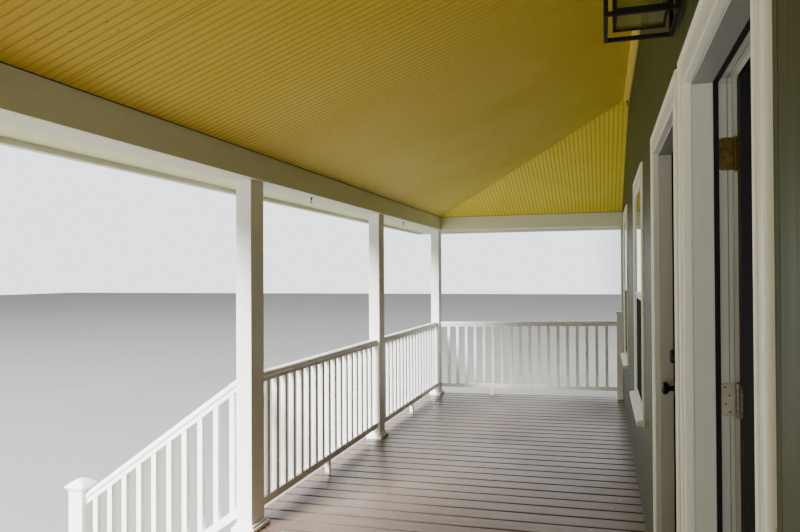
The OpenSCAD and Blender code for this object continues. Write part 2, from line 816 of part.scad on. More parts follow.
// Panels of a leaf as [left, bottom, width, height], in shares kept clear of the frame
stile = 118;
rail_zs = [leaf_bottom + 230, knob_z + 40, leaf_top - stile];
panel_w = (latch_edge - hinge_edge - 3 * stile) / 2;
leaf_panels = [for (x = [hinge_edge + stile, hinge_edge + 2 * stile + panel_w], k = [0, 1])
    [x, rail_zs[k] + k * stile, panel_w, rail_zs[k + 1] - rail_zs[k] - k * stile]];
module leaf() {
    sink = 9;
    field = 26;
    lift = 5;
    front = wall_t - leaf_t;
    difference() {
        block([hinge_edge, front, leaf_bottom], [latch_edge, wall_t, leaf_top]);
        for (p = leaf_panels) {
            translate([p[0], front - skin, p[1]]) cube([p[2], sink + skin, p[3]]);
            translate([p[0], wall_t - sink, p[1]]) cube([p[2], sink + skin, p[3]]);
        }
    }
    for (p = leaf_panels)
        translate([p[0] + field, front + sink - lift, p[1] + field])
            cube([p[2] - 2 * field, leaf_t - 2 * (sink - lift), p[3] - 2 * field]);
}
module near_door() {
    color([0.06, 0.06, 0.07]) near_door_place() leaf();
}
module far_door() {
    color([0.06, 0.06, 0.07]) far_door_place() leaf();
}
// A knob on its rose, standing out along -Y from y = 0
module knob() {
    rotate([90, 0, 0]) rotate_extrude() polygon([[0, 0], [32, 0], [32, 4], [28, 8], [14, 10], [11, 16], [11, 26],
        [18, 31], [26, 38], [28, 46], [24, 54], [14, 59], [0, 60]]);
}
module lockset() {
    for (side = [0, 1])
        translate([latch_edge - backset, side == 0 ? wall_t - leaf_t : wall_t, 0]) mirror([0, side, 0]) {
            translate([0, 0, knob_z]) knob();
            translate([0, 0, deadbolt_z]) rotate([90, 0, 0])
                rotate_extrude() polygon([[0, 0], [31, 0], [31, 6], [27, 12], [16, 14], [0, 14]]);
        }
}
// Hinges of a leaf: the jamb's half holds the pin and the outer knuckles
knuckle_r = 6.4;
hinge_pin_r = 3;
pin_play = 0.3;
segment = hinge_h / 5;
plate_l = 45;
module hinge_plate(x) {
    round_r = 14;
    translate([x, pin_y, 0]) rotate([0, 90, 0]) linear_extrude(plate_t) {
        translate([-hinge_h / 2, -plate_l + round_r]) square([hinge_h, plate_l - round_r]);
        translate([-hinge_h / 2 + round_r, -plate_l]) square([hinge_h - 2 * round_r, round_r + skin]);
        for (s = [-1, 1]) translate([s * (hinge_h / 2 - round_r), -plate_l + round_r]) circle(round_r);
    }
}
module knuckles(which) {
    gap = 0.4;
    for (k = which)
        translate([-pin_x, pin_y, -hinge_h / 2 + k * segment + gap / 2]) cylinder(r = knuckle_r, h = segment - gap);
}
module knuckle_slots(which) {
    for (k = which)
        translate([-pin_x, pin_y, -hinge_h / 2 + k * segment - 0.2]) cylinder(r = knuckle_r + pin_play, h = segment + 0.4);
}
module jamb_hinge() {
    tip = 4;
    difference() {
        hinge_plate(-door_clear / 2 - rabbet);
        knuckle_slots([1, 3]);
    }
    knuckles([0, 2, 4]);
    translate([-pin_x, pin_y, -hinge_h / 2 - tip]) cylinder(r = hinge_pin_r, h = hinge_h + 2 * tip);
}
module leaf_hinge() {
    difference() {
        union() {
            difference() {
                hinge_plate(hinge_edge - plate_t);
                knuckle_slots([0, 2, 4]);
            }
            knuckles([1, 3]);
        }
        translate([-pin_x, pin_y, -hinge_h]) cylinder(r = hinge_pin_r + pin_play, h = 2 * hinge_h);
    }
}
module jamb_hinges() {
    color([0.6, 0.57, 0.48])
        on_site() for (z = hinge_zs) {
            translate([door_xs[1], 0, z]) jamb_hinge();
            translate([door_xs[0], 0, z]) mirror([1, 0, 0]) jamb_hinge();
        }
}
module near_door_hardware() {
    color([0.1, 0.1, 0.1]) near_door_place() {
        lockset();
        for (z = hinge_zs) translate([0, 0, z]) leaf_hinge();
    }
}
module far_door_hardware() {
    color([0.1, 0.1, 0.1]) far_door_place() {
        lockset();
        for (z = hinge_zs) translate([0, 0, z]) leaf_hinge();
    }
}

// Windows, each drawn about the middle of its opening
liner_t = 20;
sill_out = 45;
sill_horn = 22;
sill_nose_h = 35;
sill_step = 8;
sill_rise = 22;
liner_half = window_w / 2 - liner_t;
module window_hole() {
    outer = liner_half + reveal + casing_w;
    block([-window_w / 2, -skin, window_bottom], [window_w / 2, wall_t + skin, window_top]);
    difference() {
        block([-outer, -skin, window_bottom], [outer, casing_in, window_top - liner_t + reveal + casing_w]);
        block([-liner_half, -2 * skin, window_bottom - skin], [liner_half, casing_in + skin, window_bottom]);
    }
    block([-outer - sill_horn, -skin, window_bottom - sill_nose_h], [outer + sill_horn, casing_in, window_bottom + sill_step]);
}
module window_casings() {
    color([0.93, 0.93, 0.91])
        on_site() for (x = window_xs) translate([x, 0, 0]) {
            casing_legs(liner_half + reveal, window_top - liner_t + reveal, window_bottom + sill_step);
            difference() {
                block([-window_w / 2, casing_in, window_bottom + sill_rise], [window_w / 2, wall_t, window_top]);
                block([-liner_half, 0, window_bottom], [liner_half, wall_t + skin, window_top - liner_t]);
            }
            inner_casing_legs(liner_half + reveal, window_top - liner_t + reveal, window_bottom + sill_rise);
        }
}
module window_sills() {
    outer = liner_half + reveal + casing_w + sill_horn;
    inner_x = liner_half + reveal + casing_w / 2;
    color([0.93, 0.93, 0.91])
        on_site() for (x = window_xs) translate([x, 0, 0]) {
            along_porch(-outer, outer, [[casing_in, window_bottom - sill_nose_h], [casing_in, window_bottom + sill_step],
                [-casing_out, window_bottom + sill_step], [-sill_out, window_bottom], [-sill_out, window_bottom - sill_nose_h + 6]]);
            block([-window_w / 2, casing_in, window_bottom], [window_w / 2, wall_t, window_bottom + sill_rise]);
            block([-inner_x, wall_t, window_bottom], [inner_x, wall_t + sill_out / 2, window_bottom + sill_rise]);
        }
}
// One sash from z0 to z1 with its outer face at y
module sash(y, z0, z1) {
    difference() {
        block([-liner_half, y, z0], [liner_half, y + sash_t, z1]);
        block([-liner_half + sash_w, y - skin, z0 + sash_w], [liner_half - sash_w, y + sash_t + skin, z1 - sash_w]);
    }
}
lap = sash_w / 2;
upper_sash = [sash_y, meeting_z - lap, window_top - liner_t];
lower_sash = [sash_y + sash_t + 2, window_bottom + sill_rise, meeting_z + lap];
module window_sashes() {
    color([0.93, 0.93, 0.91])
        on_site() for (x = window_xs, s = [upper_sash, lower_sash]) translate([x, 0, 0]) sash(s[0], s[1], s[2]);
}
module window_glass() {
    pane = 4;
    color([0.2, 0.25, 0.25])
        on_site() for (x = window_xs, s = [upper_sash, lower_sash]) translate([x, 0, 0])
            block([-liner_half + sash_w, s[0] + (sash_t - pane) / 2, s[1] + sash_w],
                [liner_half - sash_w, s[0] + (sash_t + pane) / 2, s[2] - sash_w]);
}

// Wall lantern between the doors: one wire cage inside another
cage_bar = 12;
cage_back = 12;
inner_share = 0.74;
module cage(w, d, z0, z1, bar) {
    for (sx = [-1, 1], sy = [-1, 1])
        translate([sx * (w - bar) / 2 - bar / 2, sy * (d - bar) / 2 - bar / 2, z0]) cube([bar, bar, z1 - z0]);
    for (z = [z0, z1 - bar], side = [-1, 1]) {
        translate([-w / 2, side * (d - bar) / 2 - bar / 2, z]) cube([w, bar, bar]);
        translate([side * (w - bar) / 2 - bar / 2, -d / 2, z]) cube([bar, d, bar]);
    }
}
module lantern_place() {
    on_site() translate([doors_offset + lantern_shift, -cage_back - lantern_d / 2, lantern_z]) children();
}
module lantern_cage() {
    drop = 20;
    color([0.07, 0.07, 0.07]) lantern_place() {
        cage(lantern_w, lantern_d, 0, lantern_h, cage_bar);
        cage(lantern_w * inner_share, lantern_d * inner_share, drop, lantern_h, cage_bar * 0.8);
        translate([-lantern_w / 2, -lantern_d / 2, lantern_h - 4]) cube([lantern_w, lantern_d, 4]);
    }
}
module lantern_mount() {
    plate_w = 120;
    plate_h = lantern_h * 0.75;
    color([0.07, 0.07, 0.07]) lantern_place()
        translate([-plate_w / 2, lantern_d / 2, lantern_h - plate_h]) cube([plate_w, cage_back, plate_h]);
}
module lantern_bulb() {
    top = lantern_h - 4;
    color([0.95, 0.93, 0.85]) lantern_place() translate([0, 0, top - 165])
        rotate_extrude() polygon([[0, 0], [14, 4], [26, 16], [31, 32], [29, 48], [20, 66], [15, 84], [15, 96], [20, 98],
            [20, 165], [0, 165]]);
}

// Cup hooks under the front beam and at the ends of the cove
hook_shift = 280;
module cup_hook() {
    wire = 2.6;
    ring = 12;
    stem = 18;
    translate([0, 0, -stem]) cylinder(r = wire, h = stem);
    translate([0, 0, -2]) cylinder(r = 8, h = 2);
    translate([0, 0, -stem - ring]) rotate([90, 0, 0]) rotate([0, 0, -150]) rotate_extrude(angle = 240)
        translate([ring, 0]) circle(r = wire, $fn = 16);
}
module hooks() {
    color([0.08, 0.08, 0.08])
        on_site() both_ends() {
            for (k = [0 : side_bays - 1])
                translate([post_xs[k] + bay / 2 - hook_shift, post_y, beam_bottom]) cup_hook();
            translate([end_in - clear_depth - 2 * cove, -cove * 0.4, cove_low]) cup_hook();
        }
}

foundation();
floor_band();
wall_left();
wall_middle();
wall_right();
wall_header();
corner_boards();
piers();
deck_joists();
deck_rims();
deck();
skirts();
stair_stringers();
stair_risers();
stair_treads();
stair_newels();
stair_rails();
front_posts();
end_posts();
front_rails_left();
front_rails_right();
end_rails();
front_beam();
end_beams();
rafters();
ceiling_main();
ceiling_hips();
ceiling_cove();
roof();
roof_flashing();
soffit();
fascia();
gutter();
door_casings();
door_jambs();
door_sills();
jamb_hinges();
near_door();
near_door_hardware();
far_door();
far_door_hardware();
window_casings();
window_sills();
window_sashes();
window_glass();
lantern_mount();
lantern_cage();
lantern_bulb();
hooks();
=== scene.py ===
import math
import random

import bmesh
import bpy
from mathutils import Matrix, Vector


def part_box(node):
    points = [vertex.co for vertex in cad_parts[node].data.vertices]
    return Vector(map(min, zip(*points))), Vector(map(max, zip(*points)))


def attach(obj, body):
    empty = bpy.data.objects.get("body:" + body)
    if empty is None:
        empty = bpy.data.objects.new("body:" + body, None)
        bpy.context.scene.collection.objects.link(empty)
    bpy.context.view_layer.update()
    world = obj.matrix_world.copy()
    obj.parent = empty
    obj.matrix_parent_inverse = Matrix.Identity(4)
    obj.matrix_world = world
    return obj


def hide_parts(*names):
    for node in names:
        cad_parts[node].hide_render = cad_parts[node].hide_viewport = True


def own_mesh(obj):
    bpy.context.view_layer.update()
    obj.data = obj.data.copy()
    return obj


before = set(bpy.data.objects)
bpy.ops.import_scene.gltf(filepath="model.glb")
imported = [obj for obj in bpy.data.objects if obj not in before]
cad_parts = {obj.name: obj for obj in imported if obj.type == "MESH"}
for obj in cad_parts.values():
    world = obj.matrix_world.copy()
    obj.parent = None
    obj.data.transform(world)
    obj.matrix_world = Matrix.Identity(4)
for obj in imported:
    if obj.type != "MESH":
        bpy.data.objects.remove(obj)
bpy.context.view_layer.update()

# Foundation wall and piers.
# Grey concrete blocks, 400 by 200 mm with their mortar joints, are laid in
# running bond up from the ground.
def new_finish(name, roughness, **sockets):
    finish = bpy.data.materials.new(name)
    finish.use_nodes = True
    skin = finish.node_tree.nodes["Principled BSDF"]
    skin.inputs["Roughness"].default_value = roughness
    for socket, value in sockets.items():
        skin.inputs[socket.replace("_", " ")].default_value = value
    return finish, finish.node_tree


def shade(tree, kind, inputs, out=0, **settings):
    made = tree.nodes.new("ShaderNode" + kind)
    for name, value in settings.items():
        setattr(made, name, value)
    for name, value in inputs.items():
        if isinstance(value, bpy.types.NodeSocket):
            tree.links.new(value, made.inputs[name])
        else:
            made.inputs[name].default_value = value
    return made.outputs[out]


def place_on(tree, stretch=(1, 1, 1)):
    where = shade(tree, "TexCoord", {}, out=3)
    return shade(tree, "Mapping", {"Vector": where, "Scale": stretch})


def mottle(tree, where, scale, detail=5.0, roughness=0.55):
    return shade(tree, "TexNoise", {"Vector": where, "Scale": scale, "Detail": detail, "Roughness": roughness})


def tint(tree, amount, stops):
    made = tree.nodes.new("ShaderNodeValToRGB")
    tree.links.new(amount, made.inputs[0])
    ramp = made.color_ramp
    while len(ramp.elements) < len(stops):
        ramp.elements.new(0.5)
    for spot, (at, colour) in zip(ramp.elements, stops):
        spot.position = at
        spot.color = (*colour, 1)
    return made.outputs[0]


def level(tree, amount, low, high, to_low=0.0, to_high=1.0):
    return shade(tree, "MapRange", {0: amount, 1: low, 2: high, 3: to_low, 4: to_high})


def mix_in(tree, amount, under, over, how="MIX"):
    made = tree.nodes.new("ShaderNodeMix")
    made.data_type = "RGBA"
    made.blend_type = how
    for slot, value in ((0, amount), (6, under), (7, over)):
        if isinstance(value, bpy.types.NodeSocket):
            tree.links.new(value, made.inputs[slot])
        elif slot == 0:
            made.inputs[slot].default_value = value
        else:
            made.inputs[slot].default_value = (*value, 1)
    return made.outputs[2]


def sums(tree, how, a, b=0.0, c=0.0):
    return shade(tree, "Math", {0: a, 1: b, 2: c}, operation=how)


def parts_of(tree, vector):
    return shade(tree, "SeparateXYZ", {0: vector}).node.outputs


def coat(finish, colour, height, depth, strength=1.0, rough=None):
    tree = finish.node_tree
    skin = tree.nodes["Principled BSDF"]
    tree.links.new(colour, skin.inputs["Base Color"])
    if rough is not None:
        tree.links.new(rough, skin.inputs["Roughness"])
    bump = shade(tree, "Bump", {"Height": height, "Distance": depth, "Strength": strength})
    tree.links.new(bump, skin.inputs["Normal"])
    return finish


def dress(node, finish):
    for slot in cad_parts[node].material_slots:
        slot.link = "OBJECT"
        slot.material = finish


def block_finish():
    finish, tree = new_finish("concrete_block", 0.9)
    where = place_on(tree)
    spot = parts_of(tree, where)
    along = sums(tree, "ADD", spot[0], spot[1])
    flat = shade(tree, "CombineXYZ", {0: along, 1: spot[2], 2: 0.0})
    bricks = tree.nodes.new("ShaderNodeTexBrick")
    tree.links.new(flat, bricks.inputs["Vector"])
    for name, value in (("Scale", 1.0), ("Mortar Size", 0.006), ("Mortar Smooth", 0.25), ("Brick Width", 0.4),
                        ("Row Height", 0.2), ("Color1", (0.42, 0.41, 0.39, 1)),
                        ("Color2", (0.36, 0.355, 0.34, 1)), ("Mortar", (0.5, 0.49, 0.46, 1))):
        bricks.inputs[name].default_value = value
    grit = mottle(tree, where, 60.0, 8.0, 0.7)
    stain = mottle(tree, where, 2.2, 4.0)
    grain = tint(tree, grit, [(0.3, (0.16, 0.155, 0.15)), (0.7, (0.62, 0.61, 0.58))])
    colour = mix_in(tree, 0.35, bricks.outputs[0], grain, "OVERLAY")
    colour = mix_in(tree, level(tree, stain, 0.45, 0.75, 0.0, 0.35), colour, (0.2, 0.19, 0.16))
    joint = sums(tree, "SUBTRACT", sums(tree, "MULTIPLY", grit, 0.25), bricks.outputs[1])
    return coat(finish, colour, joint, 0.006)


blockwork = block_finish()
for node in ("foundation", "piers"):
    dress(node, blockwork)

# Sawn framing: deck joists and rims, rafters and hips.
# Planed softwood, greyed where air reaches it, fixed with hangers and nails.
def sawn_finish(name, along):
    finish, tree = new_finish(name, 0.75)
    stretch = [28, 28, 28]
    stretch[along] = 1.2
    grain = mottle(tree, place_on(tree, stretch), 1.0, 6.0, 0.6)
    rings = mottle(tree, place_on(tree, [s * 0.25 for s in stretch]), 1.0, 3.0)
    colour = tint(tree, grain, [(0.3, (0.23, 0.175, 0.12)), (0.5, (0.36, 0.285, 0.20)),
                                (0.72, (0.46, 0.375, 0.27))])
    colour = mix_in(tree, level(tree, rings, 0.4, 0.7, 0.0, 0.45), colour, (0.27, 0.22, 0.165))
    return coat(finish, colour, grain, 0.0012)


across_grain = sawn_finish("sawn_timber_across", 1)
along_grain = sawn_finish("sawn_timber_along", 0)
dress("deck_joists", across_grain)
dress("rafters", across_grain)
dress("deck_rims", along_grain)

# House wall: upright boards painted dark sage green outside, plaster inside.
# The boards are 203 mm wide with a narrow groove between two, and are nailed over
# sheathing; sawn plates show on the top.
def wall_finish():
    board = 0.2032
    first_groove = 1.343
    finish, tree = new_finish("sage_wall_paint", 0.5, Specular_IOR_Level=0.2)
    where = place_on(tree)
    spot = parts_of(tree, where)
    along = spot[0]
    shift = sums(tree, "ADD", along, board * 60 - first_groove + board / 2)
    place = sums(tree, "MULTIPLY", sums(tree, "FRACT", sums(tree, "DIVIDE", shift, board)), board)
    off = sums(tree, "ABSOLUTE", sums(tree, "SUBTRACT", place, board / 2))
    groove = level(tree, off, 0.0015, 0.0045, 1.0, 0.0)
    which = sums(tree, "FLOOR", sums(tree, "DIVIDE", shift, board))
    tone = shade(tree, "TexWhiteNoise", {"W": which}, out=0, noise_dimensions="1D")
    brush = mottle(tree, place_on(tree, (70, 70, 2.2)), 1.0, 5.0, 0.6)
    cloud = mottle(tree, where, 1.6, 4.0)
    colour = tint(tree, brush, [(0.3, (0.045, 0.056, 0.013)), (0.7, (0.061, 0.076, 0.019))])
    colour = mix_in(tree, level(tree, cloud, 0.4, 0.7, 0.0, 0.5), colour, (0.060, 0.066, 0.022))
    # Painted shade: the boards are coloured darker towards the near end, where less light reaches them.
    colour = mix_in(tree, level(tree, along, 0.2, 2.0, 0.0, 0.35), colour, (0.020, 0.023, 0.008))
    colour = mix_in(tree, level(tree, tone, 0.0, 1.0, 0.0, 0.16), colour, (0.07, 0.072, 0.034))
    # Painted sheen: the lower wall is coloured paler grey-green, standing in for the reflection of the sky on
    # the satin paint.
    dust_and_painted_light = level(tree, spot[2], 0.94, 2.2, 0.5, 0.0)
    colour = mix_in(tree, dust_and_painted_light, colour, (0.085, 0.095, 0.07))
    colour = mix_in(tree, sums(tree, "MULTIPLY", groove, 0.8), colour, (0.022, 0.022, 0.014))
    facing = parts_of(tree, shade(tree, "NewGeometry", {}, out=1))
    inside = level(tree, facing[1], 0.5, 0.6)
    above = level(tree, facing[2], 0.7, 0.8)
    roller = mottle(tree, where, 220.0, 3.0)
    plaster = tint(tree, roller, [(0.3, (0.60, 0.59, 0.56)), (0.7, (0.66, 0.65, 0.62))])
    sawn = mottle(tree, place_on(tree, (1.5, 40, 40)), 1.0)
    plate = tint(tree, sawn, [(0.35, (0.38, 0.27, 0.15)), (0.7, (0.53, 0.4, 0.25))])
    colour = mix_in(tree, inside, colour, plaster)
    colour = mix_in(tree, above, colour, plate)
    rough = level(tree, brush, 0.3, 0.7, 0.48, 0.62)
    rough = sums(tree, "ADD", rough, sums(tree, "MULTIPLY", inside, 0.35))
    cut = sums(tree, "MULTIPLY", groove, sums(tree, "SUBTRACT", 1.0, inside))
    height = sums(tree, "SUBTRACT", sums(tree, "MULTIPLY", brush, 0.08), cut)
    return coat(finish, colour, height, 0.005, rough=rough)


wall_paint = wall_finish()
for node in ("floor_band", "wall_left", "wall_middle", "wall_right", "wall_header"):
    dress(node, wall_paint)

# White painted trim: corner boards, beams, fascia, soffit, casings, sills, stair
# sides and skirts. Satin paint is brushed on planed boards nailed over the frame;
# their edges are eased with sandpaper first.
def trim_finish(name, white, along, seams=()):
    finish, tree = new_finish(name, 0.4)
    stretch = [90, 90, 90]
    stretch[along] = 3
    where = place_on(tree)
    brush = mottle(tree, place_on(tree, stretch), 1.0, 4.0, 0.6)
    cloud = mottle(tree, where, 2.5, 4.0)
    speck = mottle(tree, where, 85.0, 2.0, 0.4)
    shadow = tuple(c * 0.95 for c in white)
    grime = (white[0] * 0.9, white[1] * 0.9, white[2] * 0.85)
    colour = tint(tree, brush, [(0.3, shadow), (0.65, white)])
    colour = mix_in(tree, level(tree, cloud, 0.5, 0.75, 0.0, 0.3), colour, grime)
    colour = mix_in(tree, level(tree, speck, 0.755, 0.775, 0.0, 0.4), colour, (0.3, 0.27, 0.22))
    spot = parts_of(tree, where)
    height = sums(tree, "MULTIPLY", brush, 0.1)
    for axis, at, half in seams:
        crack = sums(tree, "COMPARE", spot[axis], at, half)
        colour = mix_in(tree, sums(tree, "MULTIPLY", crack, 0.8), colour, (0.12, 0.11, 0.1))
        height = sums(tree, "SUBTRACT", height, crack)
    rough = level(tree, brush, 0.3, 0.7, 0.34, 0.46)
    return coat(finish, colour, height, 0.0015, rough=rough)


def ease_edges(node, width):
    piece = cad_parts[node]
    weld = piece.modifiers.new("joined", "WELD")
    weld.merge_threshold = 1e-5
    merge = piece.modifiers.new("flat", "DECIMATE")
    merge.decimate_type = "DISSOLVE"
    merge.angle_limit = math.radians(0.5)
    ease = piece.modifiers.new("eased", "BEVEL")
    ease.width = width
    ease.segments = 2
    ease.limit_method = "ANGLE"
    ease.angle_limit = math.radians(40)


def paint_boards(nodes, finish, ease):
    for node in nodes:
        dress(node, finish)
        ease_edges(node, ease)


trim_white = (0.785, 0.79, 0.66)
# The beam white is cream tinted yellow: partly paint colour, partly painted bounce light from the mustard
# ceiling.
beam_cream_and_bounce = (0.73, 0.74, 0.53)
board = 0.019
jamb_board = 0.032
inner_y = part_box("front_beam")[1][1]
inner_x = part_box("ceiling_main")[1][0]
jamb_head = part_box("door_jambs")[1][2] - jamb_board
board_joints = [(0, at, 0.0006) for at in (-4.57, -2.29, 1.14, 3.42)]
end_beam_joints = [(0, side * (inner_x + board), 0.0008) for side in (1, -1)]
jamb_joints = [(1, 0.005, 0.0015), (2, jamb_head, 0.0006)]

upright_paint = trim_finish("trim_paint_upright", trim_white, 2)
level_paint = trim_finish("trim_paint_level", trim_white, 0, board_joints)
# The casing white is a darker copy of the trim white, as painted shade on the casing flats.
casing_shade_paint = trim_finish("casing_shade_paint", (0.70, 0.70, 0.61), 2)
# The jamb white is darker still, as painted shade deep in the door openings.
jamb_shade_paint = trim_finish("jamb_shade_paint", (0.49, 0.49, 0.43), 2, jamb_joints)
# The soffit white is cream tinted further yellow-green: partly paint colour, partly painted bounce light from
# the lawn.
soffit_bounce_paint = trim_finish("soffit_bounce_paint", (0.80, 0.82, 0.46), 0, board_joints)
beam_paint = trim_finish("beam_paint", beam_cream_and_bounce, 0, [(1, inner_y - board, 0.0008)])
end_beam_paint = trim_finish("end_beam_paint", beam_cream_and_bounce, 1, end_beam_joints)
paint_boards(("door_casings", "window_casings"), casing_shade_paint, 0.0012)
paint_boards(("corner_boards", "skirts", "window_sashes"), upright_paint, 0.0012)
paint_boards(("door_jambs",), jamb_shade_paint, 0.0012)
paint_boards(("fascia", "window_sills", "stair_risers", "stair_stringers"), level_paint, 0.0015)
paint_boards(("soffit",), soffit_bounce_paint, 0.0015)
paint_boards(("front_beam",), beam_paint, 0.0015)
paint_boards(("end_beams",), end_beam_paint, 0.0015)

# Casing mouldings.
# A rounded wooden band wraps the outer edge of every door and window casing, and a
# slim bead runs along the inner edge; both are nailed on and mitred at the head.
between_doors = 0.239
bay = 2.28
door_middles = (between_doors - 0.555, between_doors + 0.555)
window_middles = [between_doors + side * (bay * k + extra)
                  for side in (-1, 1) for k, extra in ((1, 0.072), (2, 0.142))]
backband = [(0.0715, -0.1030), (0.0722, -0.1075), (0.0745, -0.1110), (0.0785, -0.1130), (0.0830, -0.1134),
            (0.0868, -0.1120), (0.0892, -0.1090), (0.0900, -0.1050), (0.0900, -0.0995)]
inner_bead = [(0.0002, -0.1020), (0.0002, -0.1055), (0.0014, -0.1082), (0.0042, -0.1096),
              (0.0074, -0.1088), (0.0094, -0.1064), (0.0102, -0.1030)]


def loft(bm, rows):
    rings = [[bm.verts.new(p) for p in row] for row in rows]
    count = len(rings[0])
    faces = []
    for a, b in zip(rings, rings[1:]):
        for k in range(count):
            faces.append(bm.faces.new((a[k], a[(k + 1) % count], b[(k + 1) % count], b[k])))
    return faces + [bm.faces.new(rings[0][::-1]), bm.faces.new(rings[-1])]


def make_piece(name, bm, finish, body, stands_for=(), smooth=False):
    bmesh.ops.recalc_face_normals(bm, faces=bm.faces)
    mesh = bpy.data.meshes.new(name)
    bm.to_mesh(mesh)
    bm.free()
    mesh.materials.append(finish)
    if smooth:
        mesh.polygons.foreach_set("use_smooth", [True] * len(mesh.polygons))
    piece = bpy.data.objects.new(name, mesh)
    bpy.context.scene.collection.objects.link(piece)
    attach(piece, body)
    if stands_for:
        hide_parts(*stands_for)
    return piece


def nail_mouldings():
    bm = bmesh.new()
    openings = [(middle, 0.429, 0.9405, 2.931) for middle in door_middles]
    openings += [(middle, 0.386, 1.574, 2.956) for middle in window_middles]
    corners = ((-1, False), (-1, True), (1, True), (1, False))
    for middle, half, foot, head in openings:
        for profile in (backband, inner_bead):
            loft(bm, [[(middle + side * (half + u), y, head + u if up else foot) for u, y in profile]
                      for side, up in corners])
    # The moulding white is a touch lighter than the trim white, as painted highlight on the rounded bands.
    paint = trim_finish("moulding_highlight_paint", (0.83, 0.84, 0.67), 2)
    return make_piece("casing_mouldings", bm, paint, "porch")


nail_mouldings()

# Deck boards.
# Brown-grey wood composite boards, 138 mm wide with eased edges and 10 mm gaps, run
# from the wall to the yard and are clipped to the joists.
deck_low, deck_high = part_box("deck")
deck_fall = 0.02


def deck_top(y):
    return deck_high[2] + deck_fall * (y - deck_high[1])


def eased_outline(wide, low, high, ease):
    half = wide / 2
    shape = []
    corners = ((half - ease, high - ease), (-half + ease, high - ease),
               (-half + ease, low + ease), (half - ease, low + ease))
    for quarter, (u, v) in enumerate(corners):
        for k in range(5):
            a = math.radians(90 * quarter + 22.5 * k)
            shape.append((u + ease * math.cos(a), v + ease * math.sin(a)))
    return shape


def add_length(bm, ring_a, ring_b, tone=0.5):
    mark = bm.faces.layers.float.get("tone") or bm.faces.layers.float.new("tone")
    for face in loft(bm, (ring_a, ring_b)):
        face[mark] = tone


def board_tone(tree):
    return shade(tree, "Attribute", {}, out=2, attribute_name="tone")


def deck_finish(name, along):
    finish, tree = new_finish(name, 0.62, Specular_IOR_Level=0.33)
    stretch = [60, 60, 60]
    stretch[along] = 2.0
    tone = board_tone(tree)
    away = shade(tree, "CombineXYZ", {0: tone, 1: tone, 2: 0.0})
    away = shade(tree, "VectorMath", {0: away, 3: 40.0}, operation="SCALE")
    where = shade(tree, "VectorMath", {0: place_on(tree, stretch), 1: away}, operation="ADD")
    grain = mottle(tree, where, 1.0, 6.0, 0.65)
    broad = mottle(tree, place_on(tree), 1.1, 5.0, 0.6)
    wear = mottle(tree, place_on(tree, (1, 3, 1)), 9.0, 6.0, 0.7)
    colour = tint(tree, grain, [(0.28, (0.122, 0.076, 0.051)), (0.5, (0.182, 0.117, 0.080)),
                                (0.75, (0.240, 0.160, 0.112))])
    colour = mix_in(tree, level(tree, tone, 0.0, 1.0, 0.0, 0.35), colour, (0.120, 0.083, 0.061))
    colour = mix_in(tree, level(tree, broad, 0.42, 0.72, 0.0, 0.35), colour, (0.214, 0.159, 0.122))
    colour = mix_in(tree, level(tree, wear, 0.66, 0.74, 0.0, 0.3), colour, (0.33, 0.28, 0.24))
    crumb = mottle(tree, place_on(tree), 55.0, 2.0, 0.4)
    colour = mix_in(tree, level(tree, crumb, 0.735, 0.745), colour, (0.62, 0.60, 0.55))
    # Painted shade in the gaps: the board sides and the eased edges that turn down into them are coloured dark
    # brown.
    facing = parts_of(tree, shade(tree, "NewGeometry", {}, out=1))
    side = sums(tree, "ABSOLUTE", facing[1 - along])
    colour = mix_in(tree, level(tree, side, 0.1, 0.5), colour, (0.045, 0.028, 0.017))
    rough = level(tree, broad, 0.35, 0.7, 0.30, 0.45)
    return coat(finish, colour, grain, 0.0012, 0.8, rough=rough)


def lay_deck():
    rng = random.Random(11)
    pitch, gap, thick, ease = 0.1485, 0.010, 0.025, 0.008
    first_gap = -2.64
    sliver = 0.02
    bm = bmesh.new()
    start = first_gap - pitch * math.ceil((first_gap - deck_low[0]) / pitch)
    while start < deck_high[0] - sliver:
        left = max(start + gap / 2, deck_low[0])
        right = min(start + pitch - gap / 2, deck_high[0])
        start += pitch
        middle = (left + right) / 2
        lift = rng.uniform(-0.0008, 0.0)
        outline = eased_outline(right - left, -thick, 0.0, ease)
        ends = [[(middle + u, y, deck_top(y) + v + lift) for u, v in outline]
                for y in (deck_low[1], deck_high[1])]
        add_length(bm, ends[0], ends[1], rng.random())
    return make_piece("deck_boards", bm, deck_finish("composite_board", 1), "porch", ["deck"])


lay_deck()

# Stair treads.
# Two of the same composite boards side by side make each tread, screwed down to the
# white stringers.
def lay_treads():
    rng = random.Random(5)
    low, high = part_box("stair_treads")
    risers = 5
    nose, overhang, thick, gap = 0.044, 0.025, 0.038, 0.005
    run = (high[1] - low[1] - nose + board) / (risers - 1)
    rise = (high[2] - low[2] - thick) / (risers - 2)
    bm = bmesh.new()
    for k in range(risers - 1):
        top = high[2] - k * rise
        back = high[1] - k * run
        front = back - run - overhang
        wide = (back - front - gap) / 2
        for start in (front, front + wide + gap):
            outline = eased_outline(wide, top - thick, top, 0.004)
            ends = [[(x, start + wide / 2 + u, v) for u, v in outline] for x in (low[0], high[0])]
            add_length(bm, ends[0], ends[1], rng.random())
    finish = deck_finish("composite_tread", 0)
    return make_piece("tread_boards", bm, finish, "porch", ["stair_treads"])


lay_treads()

